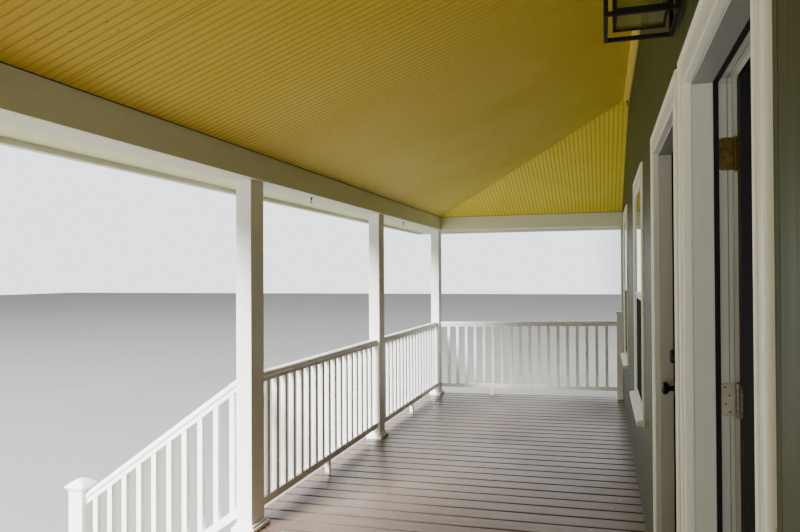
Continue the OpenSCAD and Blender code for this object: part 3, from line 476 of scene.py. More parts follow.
# Posts, newels and railings.
# Hollow white vinyl sleeves and rails, smooth and slightly glossy, are slipped over
# treated posts and clipped into brackets; moulded caps close the stair newels.
def vinyl_finish():
    finish, tree = new_finish("white_vinyl", 0.32)
    where = place_on(tree)
    cloud = mottle(tree, where, 3.0, 5.0)
    fine = mottle(tree, where, 140.0, 3.0)
    smear = mottle(tree, place_on(tree, (8, 8, 1.5)), 1.0, 5.0, 0.7)
    colour = tint(tree, cloud, [(0.35, (0.88, 0.88, 0.865)), (0.65, (0.93, 0.93, 0.915))])
    colour = mix_in(tree, level(tree, smear, 0.55, 0.8, 0.0, 0.14), colour, (0.62, 0.61, 0.57))
    rough = level(tree, smear, 0.3, 0.75, 0.26, 0.45)
    return coat(finish, colour, fine, 0.0003, 0.5, rough=rough)


vinyl = vinyl_finish()
for node in ("front_posts", "end_posts", "front_rails_left", "front_rails_right", "end_rails", "stair_rails"):
    dress(node, vinyl)
    ease_edges(node, 0.0018 if "rails" in node else 0.0025)


def crisp_edges(piece, angle):
    split = piece.modifiers.new("crisp", "EDGE_SPLIT")
    split.split_angle = math.radians(angle)


def cap_ring(middle, half, corner, z, count=8):
    ring = []
    for k in range(4):
        for j in range(count):
            a = math.radians(90 * k + 90 * j / (count - 1))
            x = (half - corner) * (1 if k in (0, 3) else -1) + corner * math.cos(a)
            y = (half - corner) * (1 if k in (0, 1) else -1) + corner * math.sin(a)
            ring.append((middle[0] + x, middle[1] + y, z))
    return ring


def raise_newels():
    low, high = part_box("stair_newels")
    post, brim, cap = 0.055, 0.076, 0.082
    neck = high[2] - cap
    stages = [(post, 0.003, 0.0), (post, 0.003, neck), (post + 0.002, 0.004, neck + 0.006),
              (post + 0.006, 0.006, neck + 0.016), (post + 0.013, 0.009, neck + 0.026),
              (brim - 0.001, 0.012, neck + 0.034), (brim, 0.013, neck + 0.038),
              (brim - 0.003, 0.014, neck + 0.042), (brim - 0.010, 0.016, neck + 0.0485),
              (0.055, 0.018, neck + 0.059), (0.042, 0.018, neck + 0.068), (0.028, 0.016, neck + 0.0755),
              (0.014, 0.010, neck + 0.0805), (0.004, 0.0035, neck + cap)]
    bm = bmesh.new()
    for side in (-1, 1):
        middle = (side * (high[0] - brim), (low[1] + high[1]) / 2)
        loft(bm, [cap_ring(middle, half, corner, z) for half, corner, z in stages])
    newels = make_piece("stair_newel_posts", bm, vinyl, "porch", ["stair_newels"], smooth=True)
    crisp_edges(newels, 38)


raise_newels()

# Sloping beadboard ceiling.
# Sheets of beadboard with a bead every 41 mm run up the slopes, are nailed to the
# rafters and painted mustard yellow. Painted shade darkens the grooves beside the beads,
# more towards the far end and less by the wall, and the yellow is coloured paler
# towards the far end as painted light.
def yellow_finish(name, axis, start, pitch, shadow, by_wall, joints=()):
    finish, tree = new_finish(name, 0.5, Specular_IOR_Level=0.25)
    where = place_on(tree)
    cloud = mottle(tree, where, 1.3, 5.0)
    brush = mottle(tree, place_on(tree, (90, 5, 5)), 1.0, 4.0)
    speck = mottle(tree, where, 42.0, 2.0, 0.4)
    colour = tint(tree, brush, [(0.3, (0.57, 0.350, 0.008)), (0.7, (0.63, 0.395, 0.014))])
    spot = parts_of(tree, where)
    along = spot[0]
    # Painted light: the yellow is paler towards the far end, where more light reaches the ceiling.
    colour = mix_in(tree, level(tree, along, -5.0, 2.0, 1.0, 0.0), colour, (0.94, 0.78, 0.07))
    colour = mix_in(tree, level(tree, cloud, 0.4, 0.7, 0.0, 0.3), colour, (0.64, 0.44, 0.03))
    colour = mix_in(tree, level(tree, speck, 0.75, 0.765, 0.0, 0.6), colour, (0.09, 0.06, 0.02))
    # Painted shade in the grooves beside the beads, strongest towards the far end and faded near the wall.
    turn = sums(tree, "DIVIDE", sums(tree, "SUBTRACT", spot[axis], start), pitch)
    groove = sums(tree, "COMPARE", sums(tree, "FRACT", turn), 0.5, 0.14)
    groove = sums(tree, "MULTIPLY", groove, level(tree, spot[1], -1.1, -0.3, 1.0, by_wall))
    groove = sums(tree, "MULTIPLY", groove, level(tree, along, -2.2, 0.5, shadow, 0.04))
    colour = mix_in(tree, groove, colour, (0.16, 0.095, 0.006))
    for at in joints:
        seam = sums(tree, "MULTIPLY", sums(tree, "COMPARE", along, at, 0.002), 0.85)
        colour = mix_in(tree, seam, colour, (0.10, 0.06, 0.006))
    rough = level(tree, cloud, 0.3, 0.7, 0.46, 0.6)
    return coat(finish, colour, brush, 0.0004, 0.6, rough=rough)


slope_low, slope_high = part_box("ceiling_main")
roof_pitch = 0.35
ceiling_thick = 0.012 * math.hypot(1, roof_pitch)
wall_y = slope_high[1]
beam_y = slope_low[1]
half_length = slope_high[0]
hip_start = half_length - (wall_y - beam_y)


def ceiling_under(x, y):
    return slope_low[2] + roof_pitch * min(y - slope_low[1], half_length - abs(x))


bead = 0.041
end_bead = 0.0398
bead_profile = [(0.0, 0.0), (0.0160, 0.0), (0.0170, 0.0030), (0.0182, 0.0028), (0.0196, 0.0006),
                (0.0218, 0.0), (0.0240, 0.0006), (0.0250, 0.0024), (0.0262, 0.0)]


def bead_stations(start, end, phase, pitch):
    found = [(start, 0.0)]
    k = math.floor((start - phase) / pitch) - 1
    while phase + k * pitch < end:
        for along, up in bead_profile:
            at = phase + k * pitch + along
            if start + 1e-4 < at < end - 1e-4:
                found.append((at, up))
        k += 1
    found.append((end, 0.0))
    return found


def hang_sheet(bm, stations, low_end, high_end):
    rows = []
    for at, up in stations:
        (x0, y0), (x1, y1) = low_end(at), high_end(at)
        z0, z1 = ceiling_under(x0, y0), ceiling_under(x1, y1)
        rows.append([(x0, y0, z0 + up), (x1, y1, z1 + up),
                     (x1, y1, z1 + ceiling_thick), (x0, y0, z0 + ceiling_thick)])
    loft(bm, rows)


def hang_ceiling():
    main = bmesh.new()
    bead_start = -0.1782
    stations = bead_stations(-half_length + 0.001, half_length - 0.001, bead_start, bead)
    hang_sheet(main, stations, lambda x: (x, beam_y), lambda x: (x, wall_y - max(0.0, abs(x) - hip_start)))
    sheet_joints = [-2.08 + 2.438 * k for k in range(-1, 4)]
    paint = yellow_finish("mustard_sheet_paint", 0, bead_start, bead, 0.68, 0.05, sheet_joints)
    make_piece("beadboard_main", main, paint, "porch", ["ceiling_main"])
    hips = bmesh.new()
    stations = bead_stations(beam_y + 0.001, wall_y, 0.0, end_bead)
    for side in (-1, 1):
        hang_sheet(hips, stations, lambda y: (side * half_length, y),
                   lambda y: (side * (half_length - (y - beam_y)), y))
    paint = yellow_finish("mustard_paint", 1, 0.0, end_bead, 0.3, 1.0)
    make_piece("beadboard_hips", hips, paint, "porch", ["ceiling_hips"])


hang_ceiling()


def cove_finish():
    finish, tree = new_finish("cove_paint", 0.4)
    where = place_on(tree)
    brush = mottle(tree, place_on(tree, (4, 110, 110)), 1.0, 5.0, 0.65)
    speck = mottle(tree, where, 60.0, 2.0, 0.4)
    colour = tint(tree, brush, [(0.3, (0.70, 0.50, 0.020)), (0.7, (0.80, 0.61, 0.050))])
    colour = mix_in(tree, level(tree, speck, 0.72, 0.74, 0.0, 0.6), colour, (0.16, 0.11, 0.03))
    return coat(finish, colour, brush, 0.0008, 0.8)


# Painted shadow: a near-black finish for the shadow line in the ceiling joints.
def joint_shadow_finish():
    finish, tree = new_finish("joint_shadow_paint", 0.9)
    dust_and_painted_light = mottle(tree, place_on(tree, (30, 30, 30)), 1.0, 4.0, 0.7)
    colour = tint(tree, dust_and_painted_light, [(0.4, (0.020, 0.015, 0.008)), (0.75, (0.16, 0.11, 0.03))])
    return coat(finish, colour, dust_and_painted_light, 0.001)


def add_block(bm, low, high, tone=0.5):
    outline = ((low[0], low[1]), (high[0], low[1]), (high[0], high[1]), (low[0], high[1]))
    foot, top = ([(x, y, z) for x, y in outline] for z in (low[2], high[2]))
    add_length(bm, foot, top, tone)


# A thin dark strip stands in the joints where the ceiling meets the front beam and the end beams, as painted
# shadow.
def paint_joint_shadow():
    bm = bmesh.new()
    foot, top, gap = slope_low[2] - 0.0035, slope_low[2] + 0.004, 0.0022
    add_block(bm, (-half_length, beam_y, foot), (half_length, beam_y + gap, top))
    for side in (-1, 1):
        x0, x1 = sorted((side * half_length, side * (half_length - gap)))
        add_block(bm, (x0, beam_y, foot), (x1, wall_y, top))
    return make_piece("ceiling_joint_shadow", bm, joint_shadow_finish(), "porch")


paint_joint_shadow()
dress("ceiling_cove", cove_finish())
ease_edges("ceiling_cove", 0.0015)

# Roof covering.
# Dark grey asphalt shingles, with 305 mm tabs that show 143 mm, are nailed over boards;
# folded caps cover the hips, and a metal edge drips into the gutter.
roof_low, roof_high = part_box("roof")
lean = math.hypot(1, roof_pitch)
eave_x = roof_high[0]
eave_y = roof_low[1]
roof_edge_z = slope_low[2] - roof_pitch * (eave_x - half_length) + 0.180 * lean


def roof_z(x, y):
    return roof_edge_z + roof_pitch * min(y - eave_y, eave_x - abs(x))


def shingle_finish():
    finish, tree = new_finish("asphalt_shingle", 0.92, Specular_IOR_Level=0.2)
    where = place_on(tree)
    tone = board_tone(tree)
    granule = mottle(tree, where, 420.0, 2.0, 0.6)
    patch = mottle(tree, where, 1.4, 4.0)
    colour = tint(tree, granule, [(0.3, (0.013, 0.013, 0.014)), (0.52, (0.044, 0.044, 0.047)),
                                  (0.72, (0.125, 0.123, 0.12))])
    colour = mix_in(tree, level(tree, tone, 0.0, 1.0, 0.0, 0.55), colour, (0.024, 0.023, 0.025))
    colour = mix_in(tree, level(tree, patch, 0.5, 0.75, 0.0, 0.3), colour, (0.078, 0.074, 0.067))
    return coat(finish, colour, granule, 0.0015)


def shingle_ring(face, start, end, along, thick):
    edge = eave_x - along if face == "front" else eave_y + along
    if face == "front":
        spots = [(max(start, -edge), eave_y + along), (min(end, edge), eave_y + along)]
    else:
        x = (eave_x - along) * (1 if face == "right" else -1)
        spots = [(x, max(start, edge)), (x, max(end, edge))]
    under = [(x, y, roof_z(x, y) + 0.0004) for x, y in spots]
    over = [(x, y, roof_z(x, y) + thick) for x, y in spots[::-1]]
    return under + over


def lay_shingles():
    rng = random.Random(3)
    show, tab, gap, lap = 0.143, 0.305, 0.006, 0.012
    butt, head = 0.0075, 0.0015
    wall_gap = 0.085
    bm = bmesh.new()
    reach = roof_high[1] - eave_y - wall_gap
    for k in range(math.ceil(reach * lean / show)):
        foot = k * show / lean
        top = min((k + 1) * show / lean + lap, reach)
        for face in ("front", "left", "right"):
            if face == "front":
                low, high = -(eave_x - foot), eave_x - foot
            else:
                low, high = eave_y + foot, roof_high[1] - wall_gap
            at = low - tab * (k % 2) / 2 - rng.uniform(0, 0.04)
            while at < high:
                start, end = max(at, low), min(at + tab - gap, high)
                at += tab
                if end - start < 0.02:
                    continue
                below = shingle_ring(face, start, end, foot, butt)
                above = shingle_ring(face, start, end, top, head)
                if math.dist(below[0], below[1]) >= 0.01:
                    add_length(bm, below, above, rng.random())
    caps = math.ceil(reach * math.sqrt(2 + roof_pitch ** 2) / show)
    cap_reach = 0.13
    for side in (-1, 1):
        for k in range(caps):
            foot = k * reach / caps
            top = min(foot + reach / caps + 0.02, reach)
            for wing in ((-side * cap_reach, 0), (0, cap_reach)):
                rings = []
                for along, lift in ((foot, 0.016), (top, 0.008)):
                    x, y = side * (eave_x - along), eave_y + along
                    u, v = x + wing[0], y + wing[1]
                    z, w = roof_z(x, y) + lift, roof_z(u, v) + lift
                    rings.append([(x, y, z - 0.005), (u, v, w - 0.006), (u, v, w - 0.002), (x, y, z)])
                add_length(bm, rings[0], rings[1], rng.random())
    return make_piece("shingle_courses", bm, shingle_finish(), "porch")


lay_shingles()
dress("roof", along_grain)


def metal_finish(name, colour_a, colour_b, rough, metallic, sheen=0.5):
    finish, tree = new_finish(name, rough, Metallic=metallic, Specular_IOR_Level=sheen)
    where = place_on(tree)
    cloud = mottle(tree, where, 4.0, 5.0)
    fine = mottle(tree, where, 60.0, 4.0)
    colour = tint(tree, cloud, [(0.35, colour_a), (0.7, colour_b)])
    rough = level(tree, fine, 0.3, 0.7, rough * 0.8, min(1.0, rough * 1.25))
    return coat(finish, colour, fine, 0.0003, 0.5, rough=rough)


gutter_metal = metal_finish("white_aluminium", (0.70, 0.71, 0.70), (0.77, 0.775, 0.76), 0.35, 0.0)


def fit_roof_metal():
    bm = bmesh.new()
    wall = roof_high[1]
    apron, upstand, sheet, lift = 0.11, 0.07, 0.0015, 0.0095
    knee = eave_x - (wall - eave_y)
    rows = []
    for x in (-eave_x, -knee - apron, -knee, knee, knee + apron, eave_x):
        low = roof_z(x, wall - apron) + lift
        high = roof_z(x, wall - 0.001) + lift
        rows.append([(x, wall - apron, low), (x, wall - 0.002, high), (x, wall - 0.002, high + upstand),
                     (x, wall, high + upstand), (x, wall, high - sheet), (x, wall - apron, low - sheet)])
    for a, b in zip(rows, rows[1:]):
        add_length(bm, a, b)
    thick, drip, edge = 0.028, 0.006, 0.0012
    foot, top = roof_edge_z - thick * lean - drip, roof_edge_z + 0.001
    for side in (1, -1):
        x0, x1 = sorted((side * eave_x, side * (eave_x + edge)))
        add_block(bm, (x0, eave_y, foot), (x1, wall, top))
    add_block(bm, (-eave_x - edge, eave_y - edge, foot), (eave_x + edge, eave_y, top))
    finish = metal_finish("flashing_metal", (0.33, 0.34, 0.34), (0.42, 0.43, 0.43), 0.4, 1.0)
    return make_piece("flashing_and_drip", bm, finish, "porch", ["roof_flashing"])


fit_roof_metal()

# Gutter.
# A trough of white aluminium is screwed to the fascia on hidden hangers and mitred at
# the corners; a wooden drip strip is nailed under the fascia behind it.
dress("gutter", gutter_metal)


def nail_drip_strip():
    bm = bmesh.new()
    low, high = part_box("fascia")
    out_x, out_y, foot = high[0], low[1], low[2]
    outline = [(-0.0195, -0.0150), (0.0195, -0.0150), (0.0215, -0.0130), (0.0215, 0.0118),
               (0.0190, 0.0118), (0.0190, -0.0001), (-0.0195, -0.0001)]
    rows = []
    for side, corner in ((-1, False), (-1, True), (1, True), (1, False)):
        rows.append([(side * (out_x - inward), out_y + inward if corner else high[1], foot + up)
                     for inward, up in outline])
    loft(bm, rows)
    return make_piece("drip_strip", bm, level_paint, "porch")


nail_drip_strip()


def hang_gutter():
    bm = bmesh.new()
    low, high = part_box("gutter")
    top = high[2] - 0.004
    near, far, half, thick = 0.004, 0.116, 0.012, 0.003
    for k in range(19):
        x = -5.85 + 0.65 * k
        add_block(bm, (x - half, low[1] + near, top - thick), (x + half, low[1] + far, top))
    for side in (-1, 1):
        x0, x1 = sorted((side * (high[0] - near), side * (high[0] - far)))
        for k in range(4):
            y = -0.4 - 0.65 * k
            add_block(bm, (x0, y - half, top - thick), (x1, y + half, top))
    return make_piece("gutter_hangers", bm, gutter_metal, "porch")


hang_gutter()

# Entry doors: leaves, sills, hinges, locks and weatherstrip.
# Panelled leaves in black satin paint hang on three screwed hinges each, with black
# knobs and deadbolts; a black strip pushed into the stops seals them.
def black_paint():
    finish, tree = new_finish("black_door_paint", 0.4, Specular_IOR_Level=0.16)
    where = place_on(tree)
    brush = mottle(tree, place_on(tree, (70, 70, 3)), 1.0, 4.0)
    cloud = mottle(tree, where, 3.0, 4.0)
    colour = tint(tree, cloud, [(0.35, (0.006, 0.006, 0.006)), (0.7, (0.010, 0.010, 0.010))])
    rough = level(tree, brush, 0.3, 0.7, 0.40, 0.54)
    return coat(finish, colour, brush, 0.0005, 0.6, rough=rough)


paint_boards(("near_door", "far_door"), black_paint(), 0.0015)


def sill_finish():
    finish, tree = new_finish("worn_sill", 0.6)
    grain = mottle(tree, place_on(tree, (2.5, 60, 60)), 1.0, 6.0, 0.6)
    wear = mottle(tree, place_on(tree), 6.0, 6.0, 0.7)
    colour = tint(tree, grain, [(0.3, (0.13, 0.10, 0.075)), (0.7, (0.24, 0.19, 0.14))])
    colour = mix_in(tree, level(tree, wear, 0.55, 0.7, 0.0, 0.5), colour, (0.34, 0.30, 0.25))
    return coat(finish, colour, grain, 0.0015)


paint_boards(("door_sills",), sill_finish(), 0.002)
hinge_feet = [v.co.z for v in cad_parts["jamb_hinges"].data.vertices]
hinge_low, hinge_high, half_hinge = min(hinge_feet), max(hinge_feet), 0.047
hinge_middles = (hinge_low + half_hinge, (hinge_low + hinge_high) / 2, hinge_high - half_hinge)


def hinge_finish(name, lock_side=None):
    finish, tree = new_finish(name, 0.42, Metallic=0.9)
    where = place_on(tree)
    cloud = mottle(tree, where, 30.0, 5.0)
    spot = parts_of(tree, where)
    upper = level(tree, spot[2], 2.3, 2.4)
    nickel = tint(tree, cloud, [(0.35, (0.15, 0.13, 0.09)), (0.7, (0.25, 0.225, 0.165))])
    brass = tint(tree, cloud, [(0.35, (0.085, 0.060, 0.014)), (0.7, (0.16, 0.115, 0.033))])
    colour = mix_in(tree, upper, nickel, brass)
    outside = sums(tree, "GREATER_THAN", spot[1], 0.0192)
    for middle in hinge_middles:
        away = sums(tree, "ABSOLUTE", sums(tree, "SUBTRACT", spot[2], middle))
        for at in (0.0094, 0.0282):
            seam = sums(tree, "MULTIPLY", sums(tree, "COMPARE", away, at, 0.0009), outside)
            colour = mix_in(tree, seam, colour, (0.012, 0.010, 0.007))
    if lock_side is not None:
        axis, at, way = lock_side
        lock = level(tree, spot[axis], at, at + 0.01 * way)
        colour = mix_in(tree, lock, colour, (0.014, 0.013, 0.012))
    rough = level(tree, cloud, 0.3, 0.7, 0.3, 0.5)
    return coat(finish, colour, cloud, 0.0004, rough=rough)


dress("jamb_hinges", hinge_finish("aged_hinge"))
dress("near_door_hardware", hinge_finish("near_leaf_metal", (1, 0.3, 1)))
dress("far_door_hardware", hinge_finish("far_leaf_metal", (0, -0.3, -1)))


def fit_bolt_collars():
    profile = ((0.0315, 0.0), (0.0315, 0.008), (0.029, 0.018), (0.026, 0.023), (0.0225, 0.0245),
               (0.011, 0.0245), (0.0105, 0.0215))
    bolt_z = 2.0461
    turns = [math.radians(9 * k) for k in range(40)]
    black = metal_finish("lock_black", (0.012, 0.012, 0.011), (0.02, 0.019, 0.018), 0.42, 0.4, 0.4)
    for leaf, (x, y), (u, v) in (("near_door_leaf", (0.4125, 0.8255), (1, 0)),
                                 ("far_door_leaf", (-0.684, -0.026), (0, -1))):
        bm = bmesh.new()
        loft(bm, [[(x + u * reach - v * radius * math.cos(a), y + v * reach + u * radius * math.cos(a),
                    bolt_z + radius * math.sin(a)) for a in turns] for radius, reach in profile])
        crisp_edges(make_piece("bolt_collar_" + leaf, bm, black, leaf, smooth=True), 35)


fit_bolt_collars()


def rubber_finish():
    finish, tree = new_finish("black_weatherstrip", 0.7, Specular_IOR_Level=0.15)
    fine = mottle(tree, place_on(tree), 200.0, 3.0)
    colour = tint(tree, fine, [(0.3, (0.005, 0.005, 0.005)), (0.7, (0.011, 0.010, 0.009))])
    return coat(finish, colour, fine, 0.0005)


clear = 0.846
stop_y = -0.032
strip_thick = 0.0055
sill_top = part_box("door_sills")[1][2]


def line_stops(bm, middle, y0, y1, lap, reach, side_reach):
    for side in (-1, 1):
        x0, x1 = sorted((middle + side * (clear / 2 - lap), middle + side * (clear / 2 + reach)))
        add_block(bm, (x0, y0, sill_top), (x1, y1, jamb_head + side_reach))
    add_block(bm, (middle - clear / 2, y0, jamb_head - lap), (middle + clear / 2, y1, jamb_head + reach))


def seal_doors():
    firm, soft = bmesh.new(), bmesh.new()
    back = stop_y + strip_thick
    for middle in door_middles:
        line_stops(firm, middle, stop_y, back, 0.001, 0.0115, 0.011)
    make_piece("weatherstrip", firm, rubber_finish(), "porch")
    middle = door_middles[1]
    line_stops(soft, middle, back, back + 0.008, 0.0015, 0.0105, 0.0105)
    strip = make_piece("foam_strip", soft, rubber_finish(), "porch")
    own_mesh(strip)


seal_doors()


def screw_hinges():
    bm = bmesh.new()
    inset, lift = 0.012, 0.0018
    rows = ((-0.008, 0.034), (0.004, 0.0115), (-0.006, -0.0115), (0.005, -0.034))
    for x, way in ((door_middles[1] - clear / 2 - inset, 1), (door_middles[0] + clear / 2 + inset, -1)):
        for z in hinge_middles:
            for y, up in rows:
                place = Matrix.Translation((x + way * lift, y, z + up)) @ Matrix.Rotation(math.pi / 2, 4, "Y")
                bmesh.ops.create_cone(bm, cap_ends=True, segments=14, radius1=0.0037, radius2=0.0026,
                                      depth=0.0014, matrix=place)
    finish = metal_finish("dark_screws", (0.03, 0.024, 0.014), (0.06, 0.05, 0.03), 0.5, 0.8)
    return make_piece("hinge_screws", bm, finish, "porch")


screw_hinges()

# Windows.
# White wooden double-hung sashes hold glass in front of dark rooms, with a brass
# lock on each meeting rail; the panes are coloured near black as painted shade for the
# unlit rooms. Storm frames of white aluminium are screwed between the casings: a fixed
# pane above and a dark mesh screen below.
def glass_finish():
    finish, tree = new_finish("window_pane", 0.03, IOR=1.5, Specular_IOR_Level=0.7, Coat_Weight=1.0,
                              Coat_Roughness=0.02)
    where = place_on(tree)
    wave = mottle(tree, where, 1.8, 2.0)
    room_shade = mottle(tree, where, 0.9, 3.0)
    # Painted shade: the pane colour is near black for the unlit rooms behind.
    colour = tint(tree, room_shade, [(0.3, (0.006, 0.007, 0.007)), (0.7, (0.014, 0.015, 0.014))])
    return coat(finish, colour, wave, 0.004, 0.2)


dress("window_glass", glass_finish())


def mesh_finish():
    finish, tree = new_finish("screen_wire", 0.85, Specular_IOR_Level=0.1, Alpha=0.8)
    spot = parts_of(tree, place_on(tree))
    cell = 0.0016
    across = sums(tree, "PINGPONG", spot[0], cell / 2)
    upright = sums(tree, "PINGPONG", spot[2], cell / 2)
    wire = level(tree, sums(tree, "MINIMUM", across, upright), 0.0001, 0.00035, 1.0, 0.0)
    colour = mix_in(tree, wire, (0.004, 0.004, 0.004), (0.022, 0.023, 0.023))
    return coat(finish, colour, wire, 0.0002)


sill_line, meeting, head_line = 1.566, 2.289, 2.957


def storm_glass():
    finish, tree = new_finish("storm_pane", 0.01, IOR=1.46, Transmission_Weight=1.0)
    wave = mottle(tree, place_on(tree), 2.5, 2.0)
    colour = tint(tree, wave, [(0.3, (0.90, 0.93, 0.92)), (0.7, (0.95, 0.97, 0.96))])
    return coat(finish, colour, wave, 0.002, 0.15)


def fit_storms():
    frames, panes, wires = bmesh.new(), bmesh.new(), bmesh.new()
    front, back = -0.1045, -0.0925
    half, bar, screen_bar = 0.385, 0.028, 0.016
    rail_foot = meeting - 0.034
    rails = ((sill_line, sill_line + bar, 0), (head_line - bar, head_line, 0),
             (meeting - bar, meeting - 0.004, 0.001), (sill_line + bar, sill_line + bar + screen_bar, 0.003),
             (rail_foot - screen_bar, rail_foot, 0.003))
    for middle in window_middles:
        left, right = middle - half + bar, middle + half - bar
        for side in (-1, 1):
            outer, inner, slim = (middle + side * (half - off) for off in (0, bar, bar + screen_bar))
            add_block(frames, (min(outer, inner), front, sill_line), (max(outer, inner), back, head_line))
            add_block(frames, (min(inner, slim), front + 0.003, sill_line + bar),
                      (max(inner, slim), back - 0.002, rail_foot))
        for low, high, step in rails:
            add_block(frames, (left, front + step, low), (right, back - step * 0.7, high))
        add_block(panes, (left - 0.004, -0.1005, meeting - 0.008),
                  (right + 0.004, -0.0985, head_line - bar + 0.004))
        add_block(wires, (left + 0.010, -0.0990, sill_line + bar + 0.010),
                  (right - 0.010, -0.0984, meeting - 0.045))
    make_piece("storm_frames", frames, upright_paint, "porch")
    make_piece("storm_panes", panes, storm_glass(), "porch")
    make_piece("screen_mesh", wires, mesh_finish(), "porch")


def lock_sashes():
    bm = bmesh.new()
    for middle in window_middles:
        add_block(bm, (middle - 0.028, -0.036, meeting), (middle + 0.028, -0.010, meeting + 0.003))
        pivot = Matrix.Translation((middle, -0.023, meeting + 0.0073))
        bmesh.ops.create_cone(bm, cap_ends=True, segments=20, radius1=0.011, radius2=0.009,
                              depth=0.009, matrix=pivot)
        add_block(bm, (middle - 0.004, -0.060, meeting + 0.008), (middle + 0.006, -0.020, meeting + 0.012))
    brass = metal_finish("sash_lock_brass", (0.22, 0.15, 0.05), (0.38, 0.27, 0.10), 0.4, 0.9)
    return make_piece("sash_locks", bm, brass, "porch")


fit_storms()
lock_sashes()

# Wall lantern.
# Black square steel bars are welded into one cage inside another on a wall plate; the
# inner cage holds dusty glass panes around a frosted lamp.
lantern_black = metal_finish("lantern_black", (0.004, 0.004, 0.003), (0.009, 0.008, 0.006), 0.55, 0.0, 0.2)
for node in ("lantern_mount", "lantern_cage"):
    dress(node, lantern_black)
ease_edges("lantern_cage", 0.0008)


def lamp_finish():
    finish, tree = new_finish("frosted_lamp", 0.35)
    fine = mottle(tree, place_on(tree), 300.0, 2.0)
    colour = tint(tree, fine, [(0.3, (0.82, 0.79, 0.70)), (0.7, (0.9, 0.88, 0.8))])
    return coat(finish, colour, fine, 0.0002, 0.4)


dress("lantern_bulb", lamp_finish())


def dusty_glass():
    finish, tree = new_finish("lantern_pane", 0.12, Specular_IOR_Level=0.5, Alpha=0.4)
    dust_and_painted_light = mottle(tree, place_on(tree), 60.0, 4.0)
    colour = tint(tree, dust_and_painted_light, [(0.3, (0.15, 0.155, 0.018)), (0.7, (0.23, 0.235, 0.045))])
    return coat(finish, colour, dust_and_painted_light, 0.0002, 0.3)


def glaze_lantern():
    bm = bmesh.new()
    low, high = (0.2142, -0.2808, 3.1525), (0.3638, -0.1482, 3.4175)
    half_bar, half_pane = 0.0048, 0.001
    for x in (low[0] - half_bar, high[0] + half_bar):
        add_block(bm, (x - half_pane, low[1], low[2]), (x + half_pane, high[1], high[2]))
    for y in (low[1] - half_bar, high[1] + half_bar):
        add_block(bm, (low[0], y - half_pane, low[2]), (high[0], y + half_pane, high[2]))
    add_block(bm, low, (high[0], high[1], low[2] + 2 * half_pane))
    return make_piece("lantern_panes", bm, dusty_glass(), "porch")


glaze_lantern()

# Hooks.
# Black enamelled steel hooks on flared plates are screwed up into the beam, to hang
# baskets from, and into the ends of the cove.
def bend_hooks():
    bm = bmesh.new()
    half_spots = ((2.001, -2.353, 2.97), (4.281, -2.353, 2.97), (3.339, -0.117, 3.8354))
    wire, curl, stem = 0.0030, 0.0105, 0.018
    across = Vector((0, 1, 0))
    turns = [math.radians(a) for a in range(75, -166, -20)]
    path = [(0.0, -0.006), (0.0, -stem)]
    path += [(curl * math.cos(a), -stem - curl + curl * math.sin(a)) for a in turns]
    for spot in (Vector((side * x, y, z)) for side in (-1, 1) for x, y, z in half_spots):
        flare = Matrix.Translation(spot + Vector((0, 0, -0.0065)))
        bmesh.ops.create_cone(bm, cap_ends=True, segments=20, radius1=0.0035, radius2=0.0115,
                              depth=0.013, matrix=flare)
        rings = []
        for k, (u, v) in enumerate(path):
            before, after = path[max(k - 1, 0)], path[min(k + 1, len(path) - 1)]
            along = Vector((after[0] - before[0], 0, after[1] - before[1])).normalized()
            side = along.cross(across)
            middle = spot + Vector((u, 0, v))
            rings.append([middle + wire * (math.cos(t) * side + math.sin(t) * across)
                          for t in (math.pi * j / 5 for j in range(10))])
        loft(bm, rings)
    return make_piece("hanging_hooks", bm, lantern_black, "porch", ["hooks"])


bend_hooks()

# Floor, light and camera.
# A plain pale floor lies under open soft daylight from the yard side; the inside of the
# house stays dim. The view is from beside the nearer door.
def pale_floor():
    finish, tree = new_finish("pale_floor", 0.9)
    soft = mottle(tree, place_on(tree), 0.6, 2.0)
    colour = tint(tree, soft, [(0.3, (0.275, 0.28, 0.265)), (0.7, (0.295, 0.30, 0.285))])
    tree.links.new(colour, tree.nodes["Principled BSDF"].inputs["Base Color"])
    bpy.ops.mesh.primitive_plane_add(size=160, location=(0, 0, 0))
    floor = bpy.context.object
    floor.name = "studio_floor"
    floor.data.materials.append(finish)


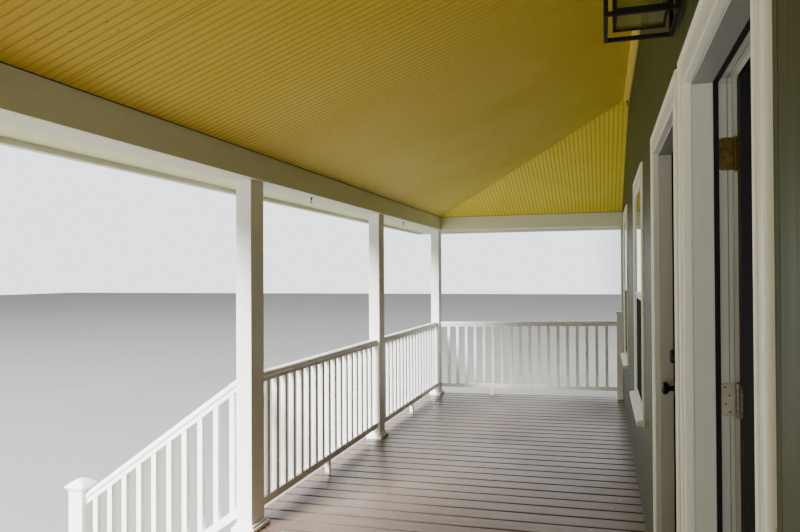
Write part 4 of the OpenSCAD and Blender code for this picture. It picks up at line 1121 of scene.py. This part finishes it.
pale_floor()
world = bpy.data.worlds.new("soft_daylight")
bpy.context.scene.world = world
world.use_nodes = True
sky = world.node_tree
toward = parts_of(sky, shade(sky, "TexCoord", {}, out=0))
yard_part = level(sky, toward[1], -0.02, 0.12, 1.1, 0.0)
yard_part = sums(sky, "MULTIPLY", yard_part, level(sky, toward[0], -0.6, 0.6, 2.15, 0.14))
house_part = level(sky, toward[1], -0.02, 0.12, 0.0, 1.0)
house_part = sums(sky, "MULTIPLY", house_part, level(sky, toward[0], -0.92, -0.72, 0.006, 0.32))
house_part = sums(sky, "MULTIPLY", house_part, level(sky, toward[0], -0.2, 0.5, 1.0, 0.25))
sky.links.new(sums(sky, "ADD", yard_part, house_part), sky.nodes["Background"].inputs[1])
sky.nodes["Background"].inputs[0].default_value = (0.93, 0.96, 1.0, 1)

lamp = bpy.data.lights.new("yard_light", "AREA")
lamp.shape = "RECTANGLE"
lamp.size, lamp.size_y = 16, 16
lamp.energy = 104000
lamp.color = (1.0, 0.99, 0.96)
stand = bpy.data.objects.new("yard_light", lamp)
stand.location = (29.0, -11.0, 20.0)
stand.rotation_euler = (Vector((-2.0, -2.6, 1.6)) - stand.location).to_track_quat("-Z", "Y").to_euler()
bpy.context.scene.collection.objects.link(stand)

view = bpy.data.cameras.new("doorway_view")
view.sensor_width = 36
view.lens = 29.12
view.shift_x = -0.0082
view.shift_y = 0.0043
view.clip_end = 400
camera = bpy.data.objects.new("doorway_view", view)
yaw, tip, roll = 0.2936, 0.0094, -0.0052
ahead = Vector((-math.cos(yaw) * math.cos(tip), -math.sin(yaw) * math.cos(tip), math.sin(tip)))
flat_right = ahead.cross(Vector((0, 0, 1))).normalized()
flat_up = flat_right.cross(ahead)
right = math.cos(roll) * flat_right + math.sin(roll) * flat_up
up = -math.sin(roll) * flat_right + math.cos(roll) * flat_up
eye = Matrix.Translation((2.3113, -0.3268, 2.3992))
camera.matrix_world = eye @ Matrix((right, up, -ahead)).transposed().to_4x4()
bpy.context.scene.collection.objects.link(camera)
bpy.context.scene.camera = camera
